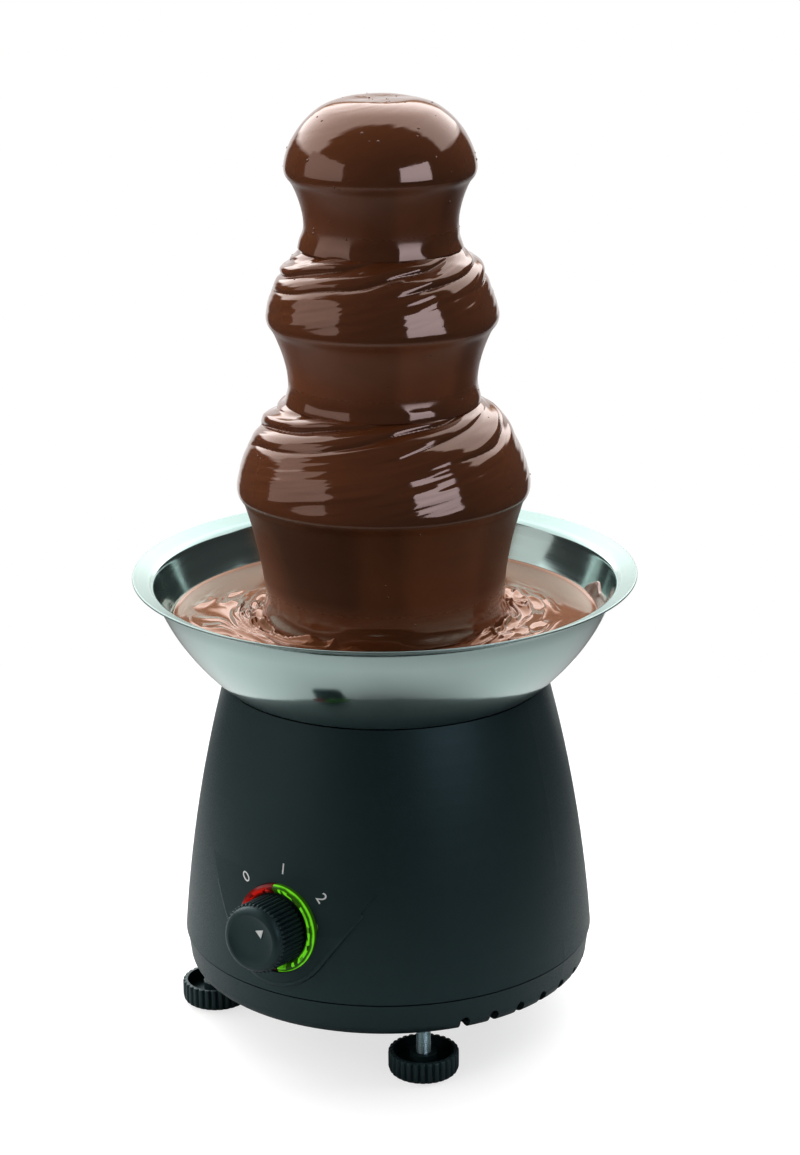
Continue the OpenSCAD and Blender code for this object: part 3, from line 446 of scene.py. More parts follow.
def swirlNoise(azimuth, run, cell, around, rows, turns, seed):
    # Smooth noise that closes on itself round the tower; its rows climb to the right
    table = np.random.RandomState(seed).uniform(-1, 1, (rows, around))
    u = azimuth / fullTurn * around
    v = run / cell + turns * rows * azimuth / fullTurn
    iu, iv = np.floor(u).astype(int), np.floor(v).astype(int)
    fu, fv = u - iu, v - iv
    fu, fv = fu * fu * (3 - 2 * fu), fv * fv * (3 - 2 * fv)
    low = table[iv % rows, iu % around] * (1 - fu) + table[iv % rows, (iu + 1) % around] * fu
    high = table[(iv + 1) % rows, iu % around] * (1 - fu) + table[(iv + 1) % rows, (iu + 1) % around] * fu
    return low * (1 - fv) + high * fv


def layered(layers, azimuth, run, seed):
    # Each layer: its height, then cell, cells around, rows, turns and what it adds to the seed
    return sum(high * swirlNoise(azimuth, run, cell, around, rows, turns, seed + step)
               for high, cell, around, rows, turns, step in layers)


# Chocolate on the tower: each tier's coat laps over its rim and falls as a curtain
# sheenBandIn, sheenBandOut and rightSheenBand place the painted reflection bands on the curtains
coat = {"depth": 0.0022, "lipIn": 0.0032, "lipTurn": -58, "hollow": 0.0021, "toe": 0.004, "step": 0.00036,
        "columns": 420, "eased": 26, "film": 0.0002, "fallFrom": (0.0002, 0.0035), "calm": 0.006,
        "backStep": 4, "sheenBandIn": (0.08, 0.3), "sheenBandOut": (0.72, 0.88), "rightSheenBand": 1.1}
# Each tier's tone is painted light on its curtain: a plain lift, then what the painted reflection bands at
# the left and right add
tiers = {
    "lower": {"shoulder": (0.0348, 0.267), "rim": (0.0586, 0.231), "bulge": 0.005, "fall": (0.0494, 0.1753),
              "flare": 0.0022, "folds": 0.0027, "foldGap": 0.0092, "foldEnd": (0.013, 0.029), "starts": 7,
              "streaks": 0.00015, "dull": 1.6, "paintedLight": (0.05, -0.48, 0.65), "gloss": (0.020, 0.008),
              "seed": 11},
    "middle": {"shoulder": (0.0286, 0.330), "rim": (0.0454, 0.302), "bulge": 0.0032, "fall": (0.0382, 0.2665),
               "flare": 0.0020, "folds": 0.0026, "foldGap": 0.0086, "foldEnd": (0.011, 0.025), "starts": 6,
               "streaks": 0.00015, "dull": 1.25, "paintedLight": (0.42, 0.0, 0.85), "gloss": (0.012, 0.004),
               "seed": 23},
    "crown": {"shoulder": (0.0222, 0.3845), "rim": (0.0368, 0.362), "bulge": 0.003, "fall": (0.031, 0.330),
              "flare": 0.0020, "folds": 0.0, "foldGap": 0.005, "foldEnd": (0.01, 0.02), "starts": 2,
              "streaks": 0.00002, "dull": 1.2, "paintedLight": (0.13, 0.1, 0.55), "gloss": (0.012, 0.004),
              "seed": 37},
}
crownWell = {"height": 0.3894, "plateau": 0.013, "swell": 0.0005, "plug": 0.3781, "bore": 0.0206,
             "backGap": 0.0004, "backDrop": 0.001}


def coatPath(tier):
    rimR, rimZ = tier["rim"]
    dome = bowPath(tier["shoulder"], tier["rim"], -tier["bulge"])
    over = dome + coat["depth"] * outwardOf(dome)
    lip = arcPath((rimR - coat["lipIn"], rimZ), coat["lipIn"] + coat["depth"], 0, coat["lipTurn"])
    fallR, fallZ = tier["fall"]
    curtain = bowPath(lip[-1], (fallR, fallZ), coat["hollow"])
    # The curtain's foot spreads where it lands
    drop = curtain[:, 1] - fallZ
    curtain[:, 0] += tier["flare"] * np.exp(-(drop / coat["toe"]) ** 2 / 2)
    path = np.concatenate([over[:-3], lip, curtain[1:]])
    if tier is tiers["crown"]:
        flat = np.linspace(0, crownWell["plateau"], 20)
        swell = bowPath((crownWell["plateau"], crownWell["height"]), over[0], -crownWell["swell"], 40)
        top = np.stack([flat, np.full_like(flat, crownWell["height"])], 1)
        path = np.concatenate([top[:-3], swell[3:-2], path])
    return path


# Ropes of chocolate pile up below the landing line and climb to the right; lower down they thin into streaks
ropes = {"warp": ((0.24, 0.012, 7, 5, 0, 0), (0.09, 0.005, 18, 9, 0, 1)), "crest": 0.7, "swell": 1.5,
         "reach": ((0.004, 0.02, 9, 3, 0, 7),), "mood": ((0.5, 0.011, 8, 5, 1, 2),), "mean": 0.4,
         "moods": (0.9, 0.35, 1.2), "outline": (0.7, 1.0), "start": (0.001, 0.007), "later": (0.005, 0.008),
         "front": (0.55, 0.42),
         "streaks": ((1, 0.0021, 16, 16, 2, 3), (0.5, 0.0012, 30, 28, 2, 4)), "lip": (-0.005, 0.001),
         "sway": ((0.00022, 0.012, 7, 9, 0, 5),), "runs": ((0.00009, 0.03, 34, 8, 0, 6),),
         "toe": ((0.0008, 0.007, 13, 7, 0, 8),), "toeRun": (-0.010, -0.003)}


def coatDisplacement(tier, azimuth, run, lipRun, footRun):
    def noise(label):
        return layered(ropes[label], azimuth, run, tier["seed"])

    phase = run / tier["foldGap"] + tier["starts"] * azimuth / fullTurn + noise("warp")
    share = phase - np.floor(phase)
    # Each rope is a ledge that leans out and then turns under
    crest = ropes["crest"]
    ledge = np.where(share < crest, 1 - (1 - np.minimum(1, share / crest)) ** ropes["swell"],
                     np.sqrt(np.maximum(0, 1 - ((share - crest) / (1 - crest)) ** 2)))
    start, end = tier["foldEnd"]
    side = smoothStep(*ropes["outline"], np.abs(np.sin(azimuth - viewTurn)))    # flatter at the outline
    early, full = [near + more * side for near, more in zip(ropes["start"], ropes["later"])]
    fade = (1 - smoothStep(start, end + noise("reach"), run)) * smoothStep(early, full, run)
    usual, least, most = ropes["moods"]
    mood = np.clip(usual + noise("mood"), least, most)
    calmer, width = ropes["front"]
    front = 1 - calmer * np.exp(-((azimuth - viewTurn) / width) ** 2)
    folds = tier["folds"] * (ledge - ropes["mean"]) * fade * mood * front
    lipStart, lipEnd = ropes["lip"]
    onCoat = 1 - smoothStep(lipRun + lipStart, lipRun + lipEnd, run)
    streaks = tier["streaks"] * onCoat * noise("streaks")
    toeStart, toeEnd = ropes["toeRun"]
    toe = smoothStep(footRun + toeStart, footRun + toeEnd, run) * noise("toe")
    return folds + streaks + noise("sway") + toe + (1 - onCoat) * noise("runs")


# Bubbles: small domes that stand half out of the coat, most of them on the crown
# for each coat: how many, smallest and largest radius, seed; margin: rows left clear at both ends of a coat
bubbles = {"crownCoat": (60, (0.0003, 0.0008), 5), "middleCoat": (24, (0.00025, 0.0006), 6),
           "lowerCoat": (30, (0.00025, 0.0006), 7), "sunk": 0.55, "margin": 10}


def addBubbles(name, rows, outward):
    count, sizes, seed = bubbles[name]
    margin = bubbles["margin"]
    grid, outward = [np.array(each)[margin:-margin] for each in (rows, outward)]
    draw = np.random.RandomState(seed)
    points, faces = [], []
    for _ in range(count):
        row, column = draw.randint(grid.shape[0]), draw.randint(grid.shape[1])
        size = draw.uniform(*sizes)
        ball = bmesh.new()
        bmesh.ops.create_icosphere(ball, subdivisions=2, radius=size)
        centre = grid[row, column] - outward[row, column] * size * bubbles["sunk"]
        base = len(points)
        points += [tuple(centre + np.array(vertex.co)) for vertex in ball.verts]
        faces += [[base + vertex.index for vertex in face.verts] for face in ball.faces]
        ball.free()
    piece = finishMesh(name.replace("Coat", "Bubbles"), points, faces, finishes["chocolate"], "tower")


# A soft band to one side, as seen from the camera: where a painted reflection lies on a curtain
def paintedSheenBand(aside):
    return smoothStep(*coat["sheenBandIn"], aside) * (1 - smoothStep(*coat["sheenBandOut"], aside))


def markCurtain(piece, tier, rows, fall, azimuth):
    # Painted light on the curtain: its tone painted lighter or darker, and the painted reflection bands that
    # the left and right add
    plain, left, right = tier["paintedLight"]
    aside = np.sin(azimuth - viewTurn)
    tones = plain + left * paintedSheenBand(-aside) + right * paintedSheenBand(coat["rightSheenBand"] * aside)
    falls = np.concatenate([fall, np.zeros(len(rows) - len(fall))])
    for label, around in (("fall", np.full_like(azimuth, tier["dull"])), ("paintedLight", tones)):
        mark = piece.data.attributes.new(label, "FLOAT", "POINT")
        levels = [level * around[:len(row)] for row, level in zip(rows, falls)]
        mark.data.foreach_set("value", np.concatenate(levels))


def pourTier(name, tier):
    azimuth = allRound(coat["columns"])
    signed = signedTurn(azimuth)
    path, run = evenPath(coatPath(tier), coat["step"])
    path = easedPath(path, coat["eased"])
    normals = outwardOf(path)
    lipRun = run[np.argmax(path[:, 0])]
    fallStart, fallFull = coat["fallFrom"]
    wetStart, wetFull = tier["gloss"]
    fall = smoothStep(lipRun + fallStart, lipRun + fallFull, run)
    fall *= 1 - smoothStep(run[-1] - wetStart, run[-1] - wetFull, run)     # wet again at its foot
    rows, outward = [], []
    for (radius, height), (nr, nz), along in zip(path, normals, run):
        if radius < 1e-6:
            rows.append(poleAt(height))
            continue
        push = coatDisplacement(tier, signed, np.full_like(signed, along), lipRun, run[-1])
        push = push * min(1, radius / coat["calm"])
        rows.append(ringOf(radius + push * nr, height + push * nz, azimuth))
        outward.append(ringOf(nr, nz, azimuth))
    addBubbles(name, rows[-len(outward):], outward)
    inside = path - normals * (coat["depth"] - coat["film"])
    back = inside[::-1][::coat["backStep"]]
    if tier is tiers["crown"]:
        shoulderR, shoulderZ = tier["shoulder"]
        back = back[back[:, 0] > shoulderR + crownWell["backGap"]]
        back = np.concatenate([back, [[crownWell["bore"], shoulderZ - crownWell["backDrop"]],
                                      [crownWell["bore"], crownWell["plug"]]]])
    rows += [ringOf(radius, height, azimuth) for radius, height in back]
    if tier is tiers["crown"]:
        rows.append(poleAt(crownWell["plug"]))
    piece = turnedMesh(name, rows, finishes["chocolate"], "tower")
    markCurtain(piece, tier, rows, fall, azimuth)
    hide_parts(name.replace("Coat", "_flow"))
    print(name, len(piece.data.vertices), "points")


for tierName, tierSizes in tiers.items():
    pourTier(tierName + "Coat", tierSizes)


# Bowl: spun from one sheet, with a flared lip and a rolled edge
bowlSizes = {"rim": 0.105, "rimZ": 0.1932, "lip": 0.008, "lipDrop": 0.0035, "depth": 0.0522, "floor": 0.058,
             "bulge": 0.0052, "sheet": 0.001, "hole": 0.0071, "columns": 256, "step": 0.0005, "eased": 4,
             "edge": (0.0004, 0.0002), "roll": (-60, 120),
             # bowl's fixing studs below and the tower's pegs above: angles, circle, radius and end
             "studs": ((30, 150, 270), 0.051, 0.002, 0.115), "pegs": ((0, 120, 240), 0.027, 0.002, 0.1462)}
bowlFloor = bowlSizes["rimZ"] - bowlSizes["depth"]


def bowlPaths():
    size = bowlSizes
    lipR, lipZ = size["rim"] - size["lip"], size["rimZ"] - size["lipDrop"]
    side = bowPath((size["floor"], bowlFloor), (lipR, lipZ), size["bulge"], 90)
    edgeIn, edgeDown = size["edge"]
    rim = (size["rim"] - edgeIn, size["rimZ"] - edgeDown)
    outer, _ = evenPath(np.concatenate([[[size["hole"], bowlFloor]], side, [rim]]), size["step"])
    outer = easedPath(outer, size["eased"])
    inner = outer + size["sheet"] * outwardOf(outer)
    edge = arcPath((outer[-1] + inner[-1]) / 2, size["sheet"] / 2, *size["roll"], 9)
    return outer, inner, edge


def rod(points, faces, azimuth, reach, radius, low, high, chamfer=0.0004, sides=32):
    around = allRound(sides)
    centre = np.array([reach * math.sin(azimuth), -reach * math.cos(azimuth)])
    base = len(points)
    for size, height in ((radius, low), (radius, high - chamfer), (radius - chamfer, high)):
        points += [(centre[0] + size * math.cos(a), centre[1] + size * math.sin(a), height) for a in around]
    for ring in range(2):
        for k in range(sides):
            a, b = base + ring * sides + k, base + ring * sides + (k + 1) % sides
            faces.append([a, b, b + sides, a + sides])
    faces.append([base + 2 * sides + k for k in range(sides)])
    faces.append([base + k for k in reversed(range(sides))])


def spinBowl():
    size = bowlSizes
    azimuth = allRound(size["columns"])
    outer, inner, edge = bowlPaths()
    section = np.concatenate([outer, edge[1:-1], inner[::-1]])
    rows = [ringOf(radius, height, azimuth) for radius, height in section]
    piece = turnedMesh("spunBowl", rows, finishes["polished_steel"], "base")
    points, faces = [], []
    middle = bowlFloor + size["sheet"] / 2
    for angles, reach, radius, end in (size["studs"], size["pegs"]):
        for angle in angles:
            rod(points, faces, math.radians(angle), reach, radius, min(end, middle), max(end, middle))
    pins = finishMesh("bowlPins", points, faces, finishes["polished_steel"], "base", smooth=False)
    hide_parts("bowl")


spinBowl()
print("bowl spun")


# Pool: wrinkled where the curtain drags it along, to the left and right of the camera, and smooth elsewhere
poolSizes = {"level": 0.175, "inner": 0.0315, "film": 0.0002, "columns": 680, "foot": 0.0505, "seed": 71,
             "folds": 0.0023, "sunk": 0.15, "meniscus": 0.0009, "creep": 0.0012, "steps": (0.004, 0.00035),
             "bedIn": 0.002, "bedUnder": 0.0003, "wallGap": 0.0004, "floorIn": 0.003, "backStep": 3,
             # lobe: azimuth from the camera, half width, where the wrinkles start to fade and where they end
             "lobes": ((-60, 64, 0.014, 0.037), (80, 50, 0.009, 0.025)), "atFoot": (0.3, 0.007)}
# Long folds that lie along the curtain's foot, with shorter ones between
poolFolds = {"drift": ((0.10, 0.010, 14, 5, 0, 0),),
             "shift": ((0.0060, 0.016, 9, 5, 0, 1), (0.0016, 0.006, 34, 9, 0, 2)),
             "broad": ((1, 0.0052, 13, 11, 1, 3),), "fine": ((1, 0.0030, 34, 17, 1, 4),),
             "ripple": ((0.00012, 0.011, 16, 6, 0, 5),), "sharp": 1.7, "pile": (0.8, 0.007),
             "shares": ((0.62, 1.3), (0.38, 1.2))}


def wrinkles(azimuth, run):
    seed = poolSizes["seed"]
    drift = azimuth + layered(poolFolds["drift"], azimuth, run, seed)
    run = run + layered(poolFolds["shift"], azimuth, run, seed)
    folds = 0
    for label, (share, power) in zip(("broad", "fine"), poolFolds["shares"]):
        crest = 1 - np.abs(layered(poolFolds[label], drift, run, seed)) * poolFolds["sharp"]
        folds = folds + share * np.maximum(0, crest) ** power
    high, fade = poolFolds["pile"]
    return (1 + high * np.exp(-run / fade)) * folds


def wrinkled(azimuth, run):
    most, width = poolSizes["atFoot"]
    share = most * (1 - smoothStep(0, width, run))
    for centre, half, start, end in poolSizes["lobes"]:
        apart = (azimuth - math.radians(view["azimuth"] + centre) + math.pi) % fullTurn - math.pi
        lobe = 1 - smoothStep(0.5 * math.radians(half), math.radians(half), np.abs(apart))
        share = np.maximum(share, lobe * (1 - smoothStep(start, end, run)))
    return share


def fillPool():
    size = poolSizes
    azimuth = allRound(size["columns"])
    signed = signedTurn(azimuth)
    _, inner, _ = bowlPaths()
    bed = inner + size["film"] * outwardOf(inner)
    inFrom, under = bowlSizes["floor"] - size["bedIn"], size["level"] - size["bedUnder"]
    bed = bed[(bed[:, 0] > inFrom) & (bed[:, 1] < under)]
    wallR = bed[-1, 0]
    coarse, fine = size["steps"]
    rows = []
    for radius in np.concatenate([np.arange(size["inner"], size["foot"] - coarse, coarse),
                                  np.arange(size["foot"] - coarse, wallR - size["wallGap"], fine)]):
        run = np.full_like(signed, max(0.0, radius - size["foot"]))
        swell = size["folds"] * wrinkled(signed, run) * (wrinkles(signed, run) - size["sunk"])
        rise = size["meniscus"] * np.exp((radius - wallR) / size["creep"]) * (radius > size["foot"])
        ripple = layered(poolFolds["ripple"], signed, run, size["seed"])
        rows.append(ringOf(radius, size["level"] + swell + rise + ripple, azimuth))
    rows.append(ringOf(wallR, size["level"] + size["meniscus"], azimuth))
    rows += [ringOf(r, z, azimuth) for r, z in bed[::-1][::size["backStep"]]]
    floorZ = bowlFloor + bowlSizes["sheet"] + size["film"]
    rows += [ringOf(r, floorZ, azimuth) for r in (bed[0, 0] - size["floorIn"], size["inner"])]
    piece = turnedMesh("chocolatePool", rows, poolPaintedPaler, "base")
    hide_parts("chocolate_pool")


# Smear that a wave of chocolate left on the bowl wall, at the right
smear = {"from": 66, "to": 108, "columns": 120, "rows": 36, "height": 0.015, "depth": 0.0006, "seed": 91,
         "least": 0.0012, "below": 0.001, "wallFrom": 0.004, "round": 0.6, "edges": (6, 5, 0.5),
         "front": 0.00006, "back": 0.00004, "ragged": ((0.35, 1, 48, 1, 0, 0),), "raggedMean": 0.65,
         "lumps": ((0.3, 0.006, 60, 5, 1, 1),), "lumpsMean": 0.8, "lumpsFrom": 0.17}


def smearWall():
    turn = np.linspace(0, 1, smear["columns"])
    azimuth = np.radians(view["azimuth"] + smear["from"] + turn * (smear["to"] - smear["from"]))
    _, inner, _ = bowlPaths()
    shown = inner[:, 1] > poolSizes["level"] - smear["wallFrom"]
    wall, normals = inner[shown], outwardOf(inner)[shown]
    ragged = smear["raggedMean"] + layered(smear["ragged"], azimuth, azimuth * 0, smear["seed"])
    top = smear["height"] * np.sin(math.pi * turn) ** smear["round"] * ragged + smear["least"]
    narrow, steep, power = smear["edges"]
    front, back = [], []
    for climb in np.linspace(0, 1, smear["rows"]):
        height = poolSizes["level"] - smear["below"] + climb * top
        radius = np.interp(height, wall[:, 1], wall[:, 0])
        lean = np.stack([np.interp(height, wall[:, 1], normals[:, k]) for k in (0, 1)], 1)
        edge = np.minimum(1, np.minimum(1 - climb, np.minimum(turn, 1 - turn) * narrow) * steep) ** power
        over = height - smear["lumpsFrom"]
        lumps = smear["lumpsMean"] + layered(smear["lumps"], azimuth, over, smear["seed"])
        for stack, lift in ((front, smear["front"] + smear["depth"] * edge * lumps),
                            (back, np.full_like(turn, smear["back"]))):
            stack.append(ringOf(radius + lift * lean[:, 0], height + lift * lean[:, 1], azimuth))
    count, total = smear["columns"], 2 * smear["rows"]
    points = np.concatenate(front + back[::-1])
    faces = []
    for row in range(total):
        for column in range(count - 1):
            a, b = row * count + column, (row + 1) % total * count + column
            faces.append([a, a + 1, b + 1, b])
    for column in (0, count - 1):
        for row in range(smear["rows"] - 1):
            corners = (row, row + 1, total - 2 - row, total - 1 - row)
            faces.append([corner * count + column for corner in corners])
    piece = finishMesh("wallSmear", points.tolist(), faces, finishes["chocolate"], "base")


smearWall()
fillPool()
print("pool filled")


# Levelling feet: where they stand, from the front towards the right
feet = {"circle": 0.075, "angles": (43, -54, 174)}


def footPiece(index, name, rows, finish, node):
    angle = math.radians(feet["angles"][index])
    centre = np.array([feet["circle"] * math.sin(angle), -feet["circle"] * math.cos(angle), 0])
    rows = [row + centre for row in rows]
    piece = turnedMesh(f"{name}{index + 1}", rows, finish, f"foot_{index + 1}", closed=False)
    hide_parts(f"{node}_{index + 1}")
    return piece


# Levelling studs: an M6 thread in place of each plain stud
thread = {"radius": 0.003, "pitch": 0.001, "depth": 0.00055, "flank": (1.35, 1.7), "low": 0.0046,
          "high": 0.039, "tip": 0.0008, "tipIn": 0.001, "sides": 48, "perTurn": 12}


def studRows():
    azimuth = allRound(thread["sides"])
    heights = np.arange(thread["low"], thread["high"] - thread["tip"], thread["pitch"] / thread["perTurn"])
    crest, slope = thread["flank"]
    rows = [poleAt(thread["low"])]
    for height in heights:
        wave = (height / thread["pitch"] + azimuth / fullTurn) % 1
        flank = np.clip(crest - np.abs(2 * wave - 1) * slope, 0, 1)     # flat crest, sloping flanks
        rows.append(ringOf(thread["radius"] - thread["depth"] * (1 - flank), height, azimuth))
    tip = ringOf(thread["radius"] - thread["tipIn"], thread["high"], azimuth)
    return rows + [tip, poleAt(thread["high"])]


# Foot wheels: the moulded wheels with round ribs that run out over the rim
wheel = {"ribs": 30, "groove": 0.0011, "narrow": 2.5, "columns": 480, "crease": 40,
         # from the pin hole below, round the rim, to the bore: radius, height and how deep the ribs are cut
         "section": ((0.0022, 0.0043, 0), (0.0022, 0.0021, 0), (0.0113, 0.0021, 0), (0.0113, 0.0008, 0),
                     (0.0134, 0.0008, 0.2), (0.0140, 0.0013, 0.7), (0.0144, 0.0022, 1), (0.0146, 0.0032, 1),
                     (0.0146, 0.0090, 1), (0.0145, 0.0095, 0.95), (0.0142, 0.0099, 0.8),
                     (0.0137, 0.0100, 0.5), (0.0126, 0.0100, 0), (0.0126, 0.0046, 0), (0.0056, 0.0046, 0),
                     (0.0056, 0.0090, 0), (0.0031, 0.0090, 0), (0.0031, 0.0045, 0))}


def grooveWave(azimuth, ribs, narrow):
    return (0.5 + 0.5 * np.cos(ribs * azimuth)) ** narrow


def wheelRows():
    azimuth = allRound(wheel["columns"])
    grooves = wheel["groove"] * grooveWave(azimuth, wheel["ribs"], wheel["narrow"])
    section = wheel["section"]
    rows = [ringOf(radius - share * grooves, height, azimuth) for radius, height, share in section]
    return [poleAt(section[0][1]), *rows, poleAt(section[-1][1])]


def creaseEdges(piece, degrees):
    piece.data.set_sharp_from_angle(angle=math.radians(degrees))


for index in range(len(feet["angles"])):
    footPiece(index, "threadedStud", studRows(), studSteel, "foot_stud")
    ribbed = footPiece(index, "ribbedWheel", wheelRows(), finishes["black_plastic"], "foot_wheel")
    creaseEdges(ribbed, wheel["crease"])
print("studs threaded, wheels moulded")

housingSkin = BVHTree.FromObject(frame["nodes"]["housing"], bpy.context.evaluated_depsgraph_get())


# Dial figures, printed on the moulding round the light ring
def printFigures():
    for figure, angle in dial["figures"]:
        words = bpy.data.curves.new("dialFigure", "FONT")
        words.body = figure
        words.size = dial["size"]
        words.align_x, words.align_y = "CENTER", "CENTER"
        words.resolution_u = 8
        holder = addObject("dialFigure", words)
        bpy.context.view_layer.update()
        flat = bpy.data.meshes.new_from_object(holder.evaluated_get(bpy.context.evaluated_depsgraph_get()))
        bpy.data.objects.remove(holder)
        shape = bmesh.new()
        shape.from_mesh(flat)
        bmesh.ops.triangulate(shape, faces=shape.faces)
        bmesh.ops.subdivide_edges(shape, edges=shape.edges, cuts=2, use_grid_fill=True)
        turned = dialFacing @ Matrix.Rotation(-math.radians(angle), 4, "Z")
        place = turned @ Matrix.Translation((0, dial["reach"], 0))
        for vertex in shape.verts:
            start = place @ vertex.co + dialOut * dial["above"]
            vertex.co = housingSkin.ray_cast(start, -dialOut)[0] + dialOut * dial["lift"]
        name = "dialFigure" + figure
        piece = addObject(name, meshFrom(name, shape, finishes["white_print"]))
        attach(piece, "base")


printFigures()
print("figures printed")

# Knob: ribs with round ends stand on a smooth core, which turns over a wide shoulder into a dished face
knobSizes = {"core": 0.0136, "rib": 0.0009, "ribs": 46, "narrow": 2.2, "columns": 644, "foot": 0.0006,
             "reach": 0.0173, "sideRows": (0.004, 0.008), "ribEnd": (0.0137, 0.0147), "ribRun": 0.001,
             "shoulder": 0.0029, "shoulderTurn": (4, 90), "dish": 0.00115, "dishPower": 4,
             "faceShares": (0.97, 0.05), "rows": (16, 20), "bore": (0.00315, 0.0127), "crease": 50}


def mouldKnob():
    size = knobSizes
    azimuth = allRound(size["columns"])
    ribs = size["rib"] * (1 - grooveWave(azimuth, size["ribs"], size["narrow"]))
    start, end = size["ribEnd"]
    endRows, faceRows = size["rows"]
    faceR = size["core"] - size["shoulder"]
    heights = [size["foot"], *size["sideRows"], *np.linspace(start - size["ribRun"], end, endRows)]
    side = [(size["core"], height) for height in heights]
    turnFrom = (faceR, size["reach"] - size["shoulder"])
    shoulder = arcPath(turnFrom, size["shoulder"], *size["shoulderTurn"], faceRows)
    shares = np.linspace(*size["faceShares"], faceRows)
    dished = size["reach"] - size["dish"] * (1 - shares ** size["dishPower"])
    face = np.stack([shares * faceR, dished], 1)
    boreR, boreEnd = size["bore"]
    rows = [poleAt(boreEnd)] + [ringOf(boreR, height, azimuth) for height in (boreEnd, size["foot"])]
    for radius, height in [*side, *shoulder, *face]:
        over = min(1, max(0, (height - start) / (end - start)))
        stands = math.sqrt(1 - over ** 2)      # the rib's round end
        rows.append(ringOf(radius + stands * ribs, height, azimuth))
    rows.append(poleAt(size["reach"] - size["dish"]))
    facing = np.array(dialFacing)
    rows = [row @ facing[:3, :3].T + facing[:3, 3] for row in rows]
    piece = turnedMesh("ribbedKnob", rows, finishes["black_plastic"], "knob", closed=False)
    creaseEdges(piece, size["crease"])
    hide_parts("knob")


mouldKnob()
print("knob moulded")

# Rounded edge of the raised panel round the dial: a strip over the step, which ends where the step fades out
ledge = {"radius": 0.0234, "flare": 33.0, "up": 0.011, "inset": 0.0014, "outset": 0.0012, "lift": 0.00006,
         "points": 140, "across": 11, "root": 0.0006, "sink": 0.00016, "taper": 0.14, "edge": 0.00009,
         "edgeWidth": 0.3, "probe": 0.0012, "round": 4}


def ledgeLine():
    # Outline of the panel seen along the dial's axis, from the left top round the foot to the right top
    flare = math.radians(ledge["flare"])
    turn = np.linspace(math.pi + flare, fullTurn - flare, 60)
    arc = ledge["radius"] * np.stack([np.cos(turn), np.sin(turn)], 1)
    end = arc[-1] + (ledge["up"] - arc[-1][1]) * np.array([math.tan(flare), 1])
    length = np.linalg.norm(end - arc[-1]) * 2 + ledge["radius"] * (math.pi - 2 * flare)
    line, _ = evenPath(np.concatenate([[end * (-1, 1)], arc, [end]]), length / ledge["points"])
    return line


def housingDepth(place):
    start = dialFacing @ Vector((place[0], place[1], dial["above"]))
    return dial["above"] - (housingSkin.ray_cast(start, -dialOut)[0] - start).length


def ledgeRow(place, away, lift):
    inset, outset, probe = ledge["inset"], ledge["outset"], ledge["probe"]
    width = inset + outset
    inner = [housingDepth(place - away * (inset + k * probe)) for k in (0, 1)]
    outer = [housingDepth(place + away * (outset + k * probe)) for k in (0, 1)]
    row = []
    for t in np.linspace(-inset, outset, ledge["across"]):
        high = inner[0] + (inner[0] - inner[1]) * (t + inset) / probe
        low = outer[0] + (outer[0] - outer[1]) * (outset - t) / probe
        share = (1 - ((t + inset) / width) ** ledge["round"]) ** (1 / ledge["round"])
        within = smoothStep(0, ledge["edgeWidth"], min(t + inset, outset - t) / width)
        proud = lift - ledge["edge"] * (1 - within)
        row.append((*(place + away * t), low + (high - low) * share + proud))
    row += [(*(place + away * t), outer[0] - ledge["root"]) for t in (outset, -inset)]
    return [tuple(dialFacing @ Vector(point)) for point in row]


def roundLedge():
    line = ledgeLine()
    side = -outwardOf(line)              # away from the dial
    ends = np.minimum(np.linspace(0, 1, len(line)), np.linspace(1, 0, len(line)))
    lifts = ledge["lift"] - ledge["sink"] * (1 - smoothStep(0, ledge["taper"], ends))
    rows = [ledgeRow(*each) for each in zip(line, side, lifts)]
    count = len(rows[0])
    faces = []
    for i in range(len(rows) - 1):
        for k in range(count):
            a, b = i * count + k, i * count + (k + 1) % count
            faces.append([a, b, b + count, a + count])
    faces += [list(range(count)), [(len(rows) - 1) * count + k for k in range(count)]]
    points = [point for row in rows for point in row]
    piece = finishMesh("dialLedge", points, faces, finishes["black_plastic"], "base")
    print("ledge rounded:", len(rows), "rows")


roundLedge()

# Studio: a bright sweep from overhead down to the back, dark in front, and two soft boxes at the sides
# sweep: level overhead, what it gains towards the back, where that is reached and how late it comes
studio = {"dark": 0.05, "frontEdge": (0.04, -0.04), "sweep": (1.5, 2.1, -0.85, 3.0), "behind": 0.14,
          "fades": (-0.905, -0.937), "warm": (1.0, 0.73, 0.54), "matt": 2.4, "sideSlope": (0.46, 0.58),
          "sideEdge": (-0.09, -0.02), "bounce": (0.12, -0.25, 0.1), "panel": 1.1, "panelTop": (0.21, 0.27),
          "panelSide": (0.40, 0.50), "panelFront": (-0.5, -0.8), "boxFoot": (0.8, 0.6),
          "boxes": (
              # name, azimuth from the camera, distance, height, width, tall, radiance, colour, and how much
              # more of it matt surfaces get
              ("leftBox", -72.0, 1.1, 0.63, 1.15, 0.72, 0.88, (1.0, 0.93, 0.92), 3.4),
              ("rightBox", 43.0, 1.1, 0.58, 0.75, 0.60, 3.0, (0.83, 0.86, 1.0), 0.4))}


def boxGlow(name, radiance, colour, lights):
    finish = bpy.data.materials.new(name)
    finish.use_nodes = True
    tree = finish.node_tree
    tree.nodes.remove(tree.nodes["Principled BSDF"])
    place = addNode(tree, "ShaderNodeSeparateXYZ", Vector=placeOn(tree, "Generated")).outputs
    dimmer, full = studio["boxFoot"]      # a little dimmer at the foot
    level = spread(tree, place["Y"], dimmer * radiance, radiance, 0.0, full)
    lit = product(tree, level, spread(tree, rayIs(tree, "Glossy"), lights, 1, 0, 1))
    glow = addNode(tree, "ShaderNodeEmission", Color=(*colour, 1), Strength=lit)
    tree.links.new(glow.outputs["Emission"], tree.nodes["Material Output"].inputs["Surface"])
    return finish


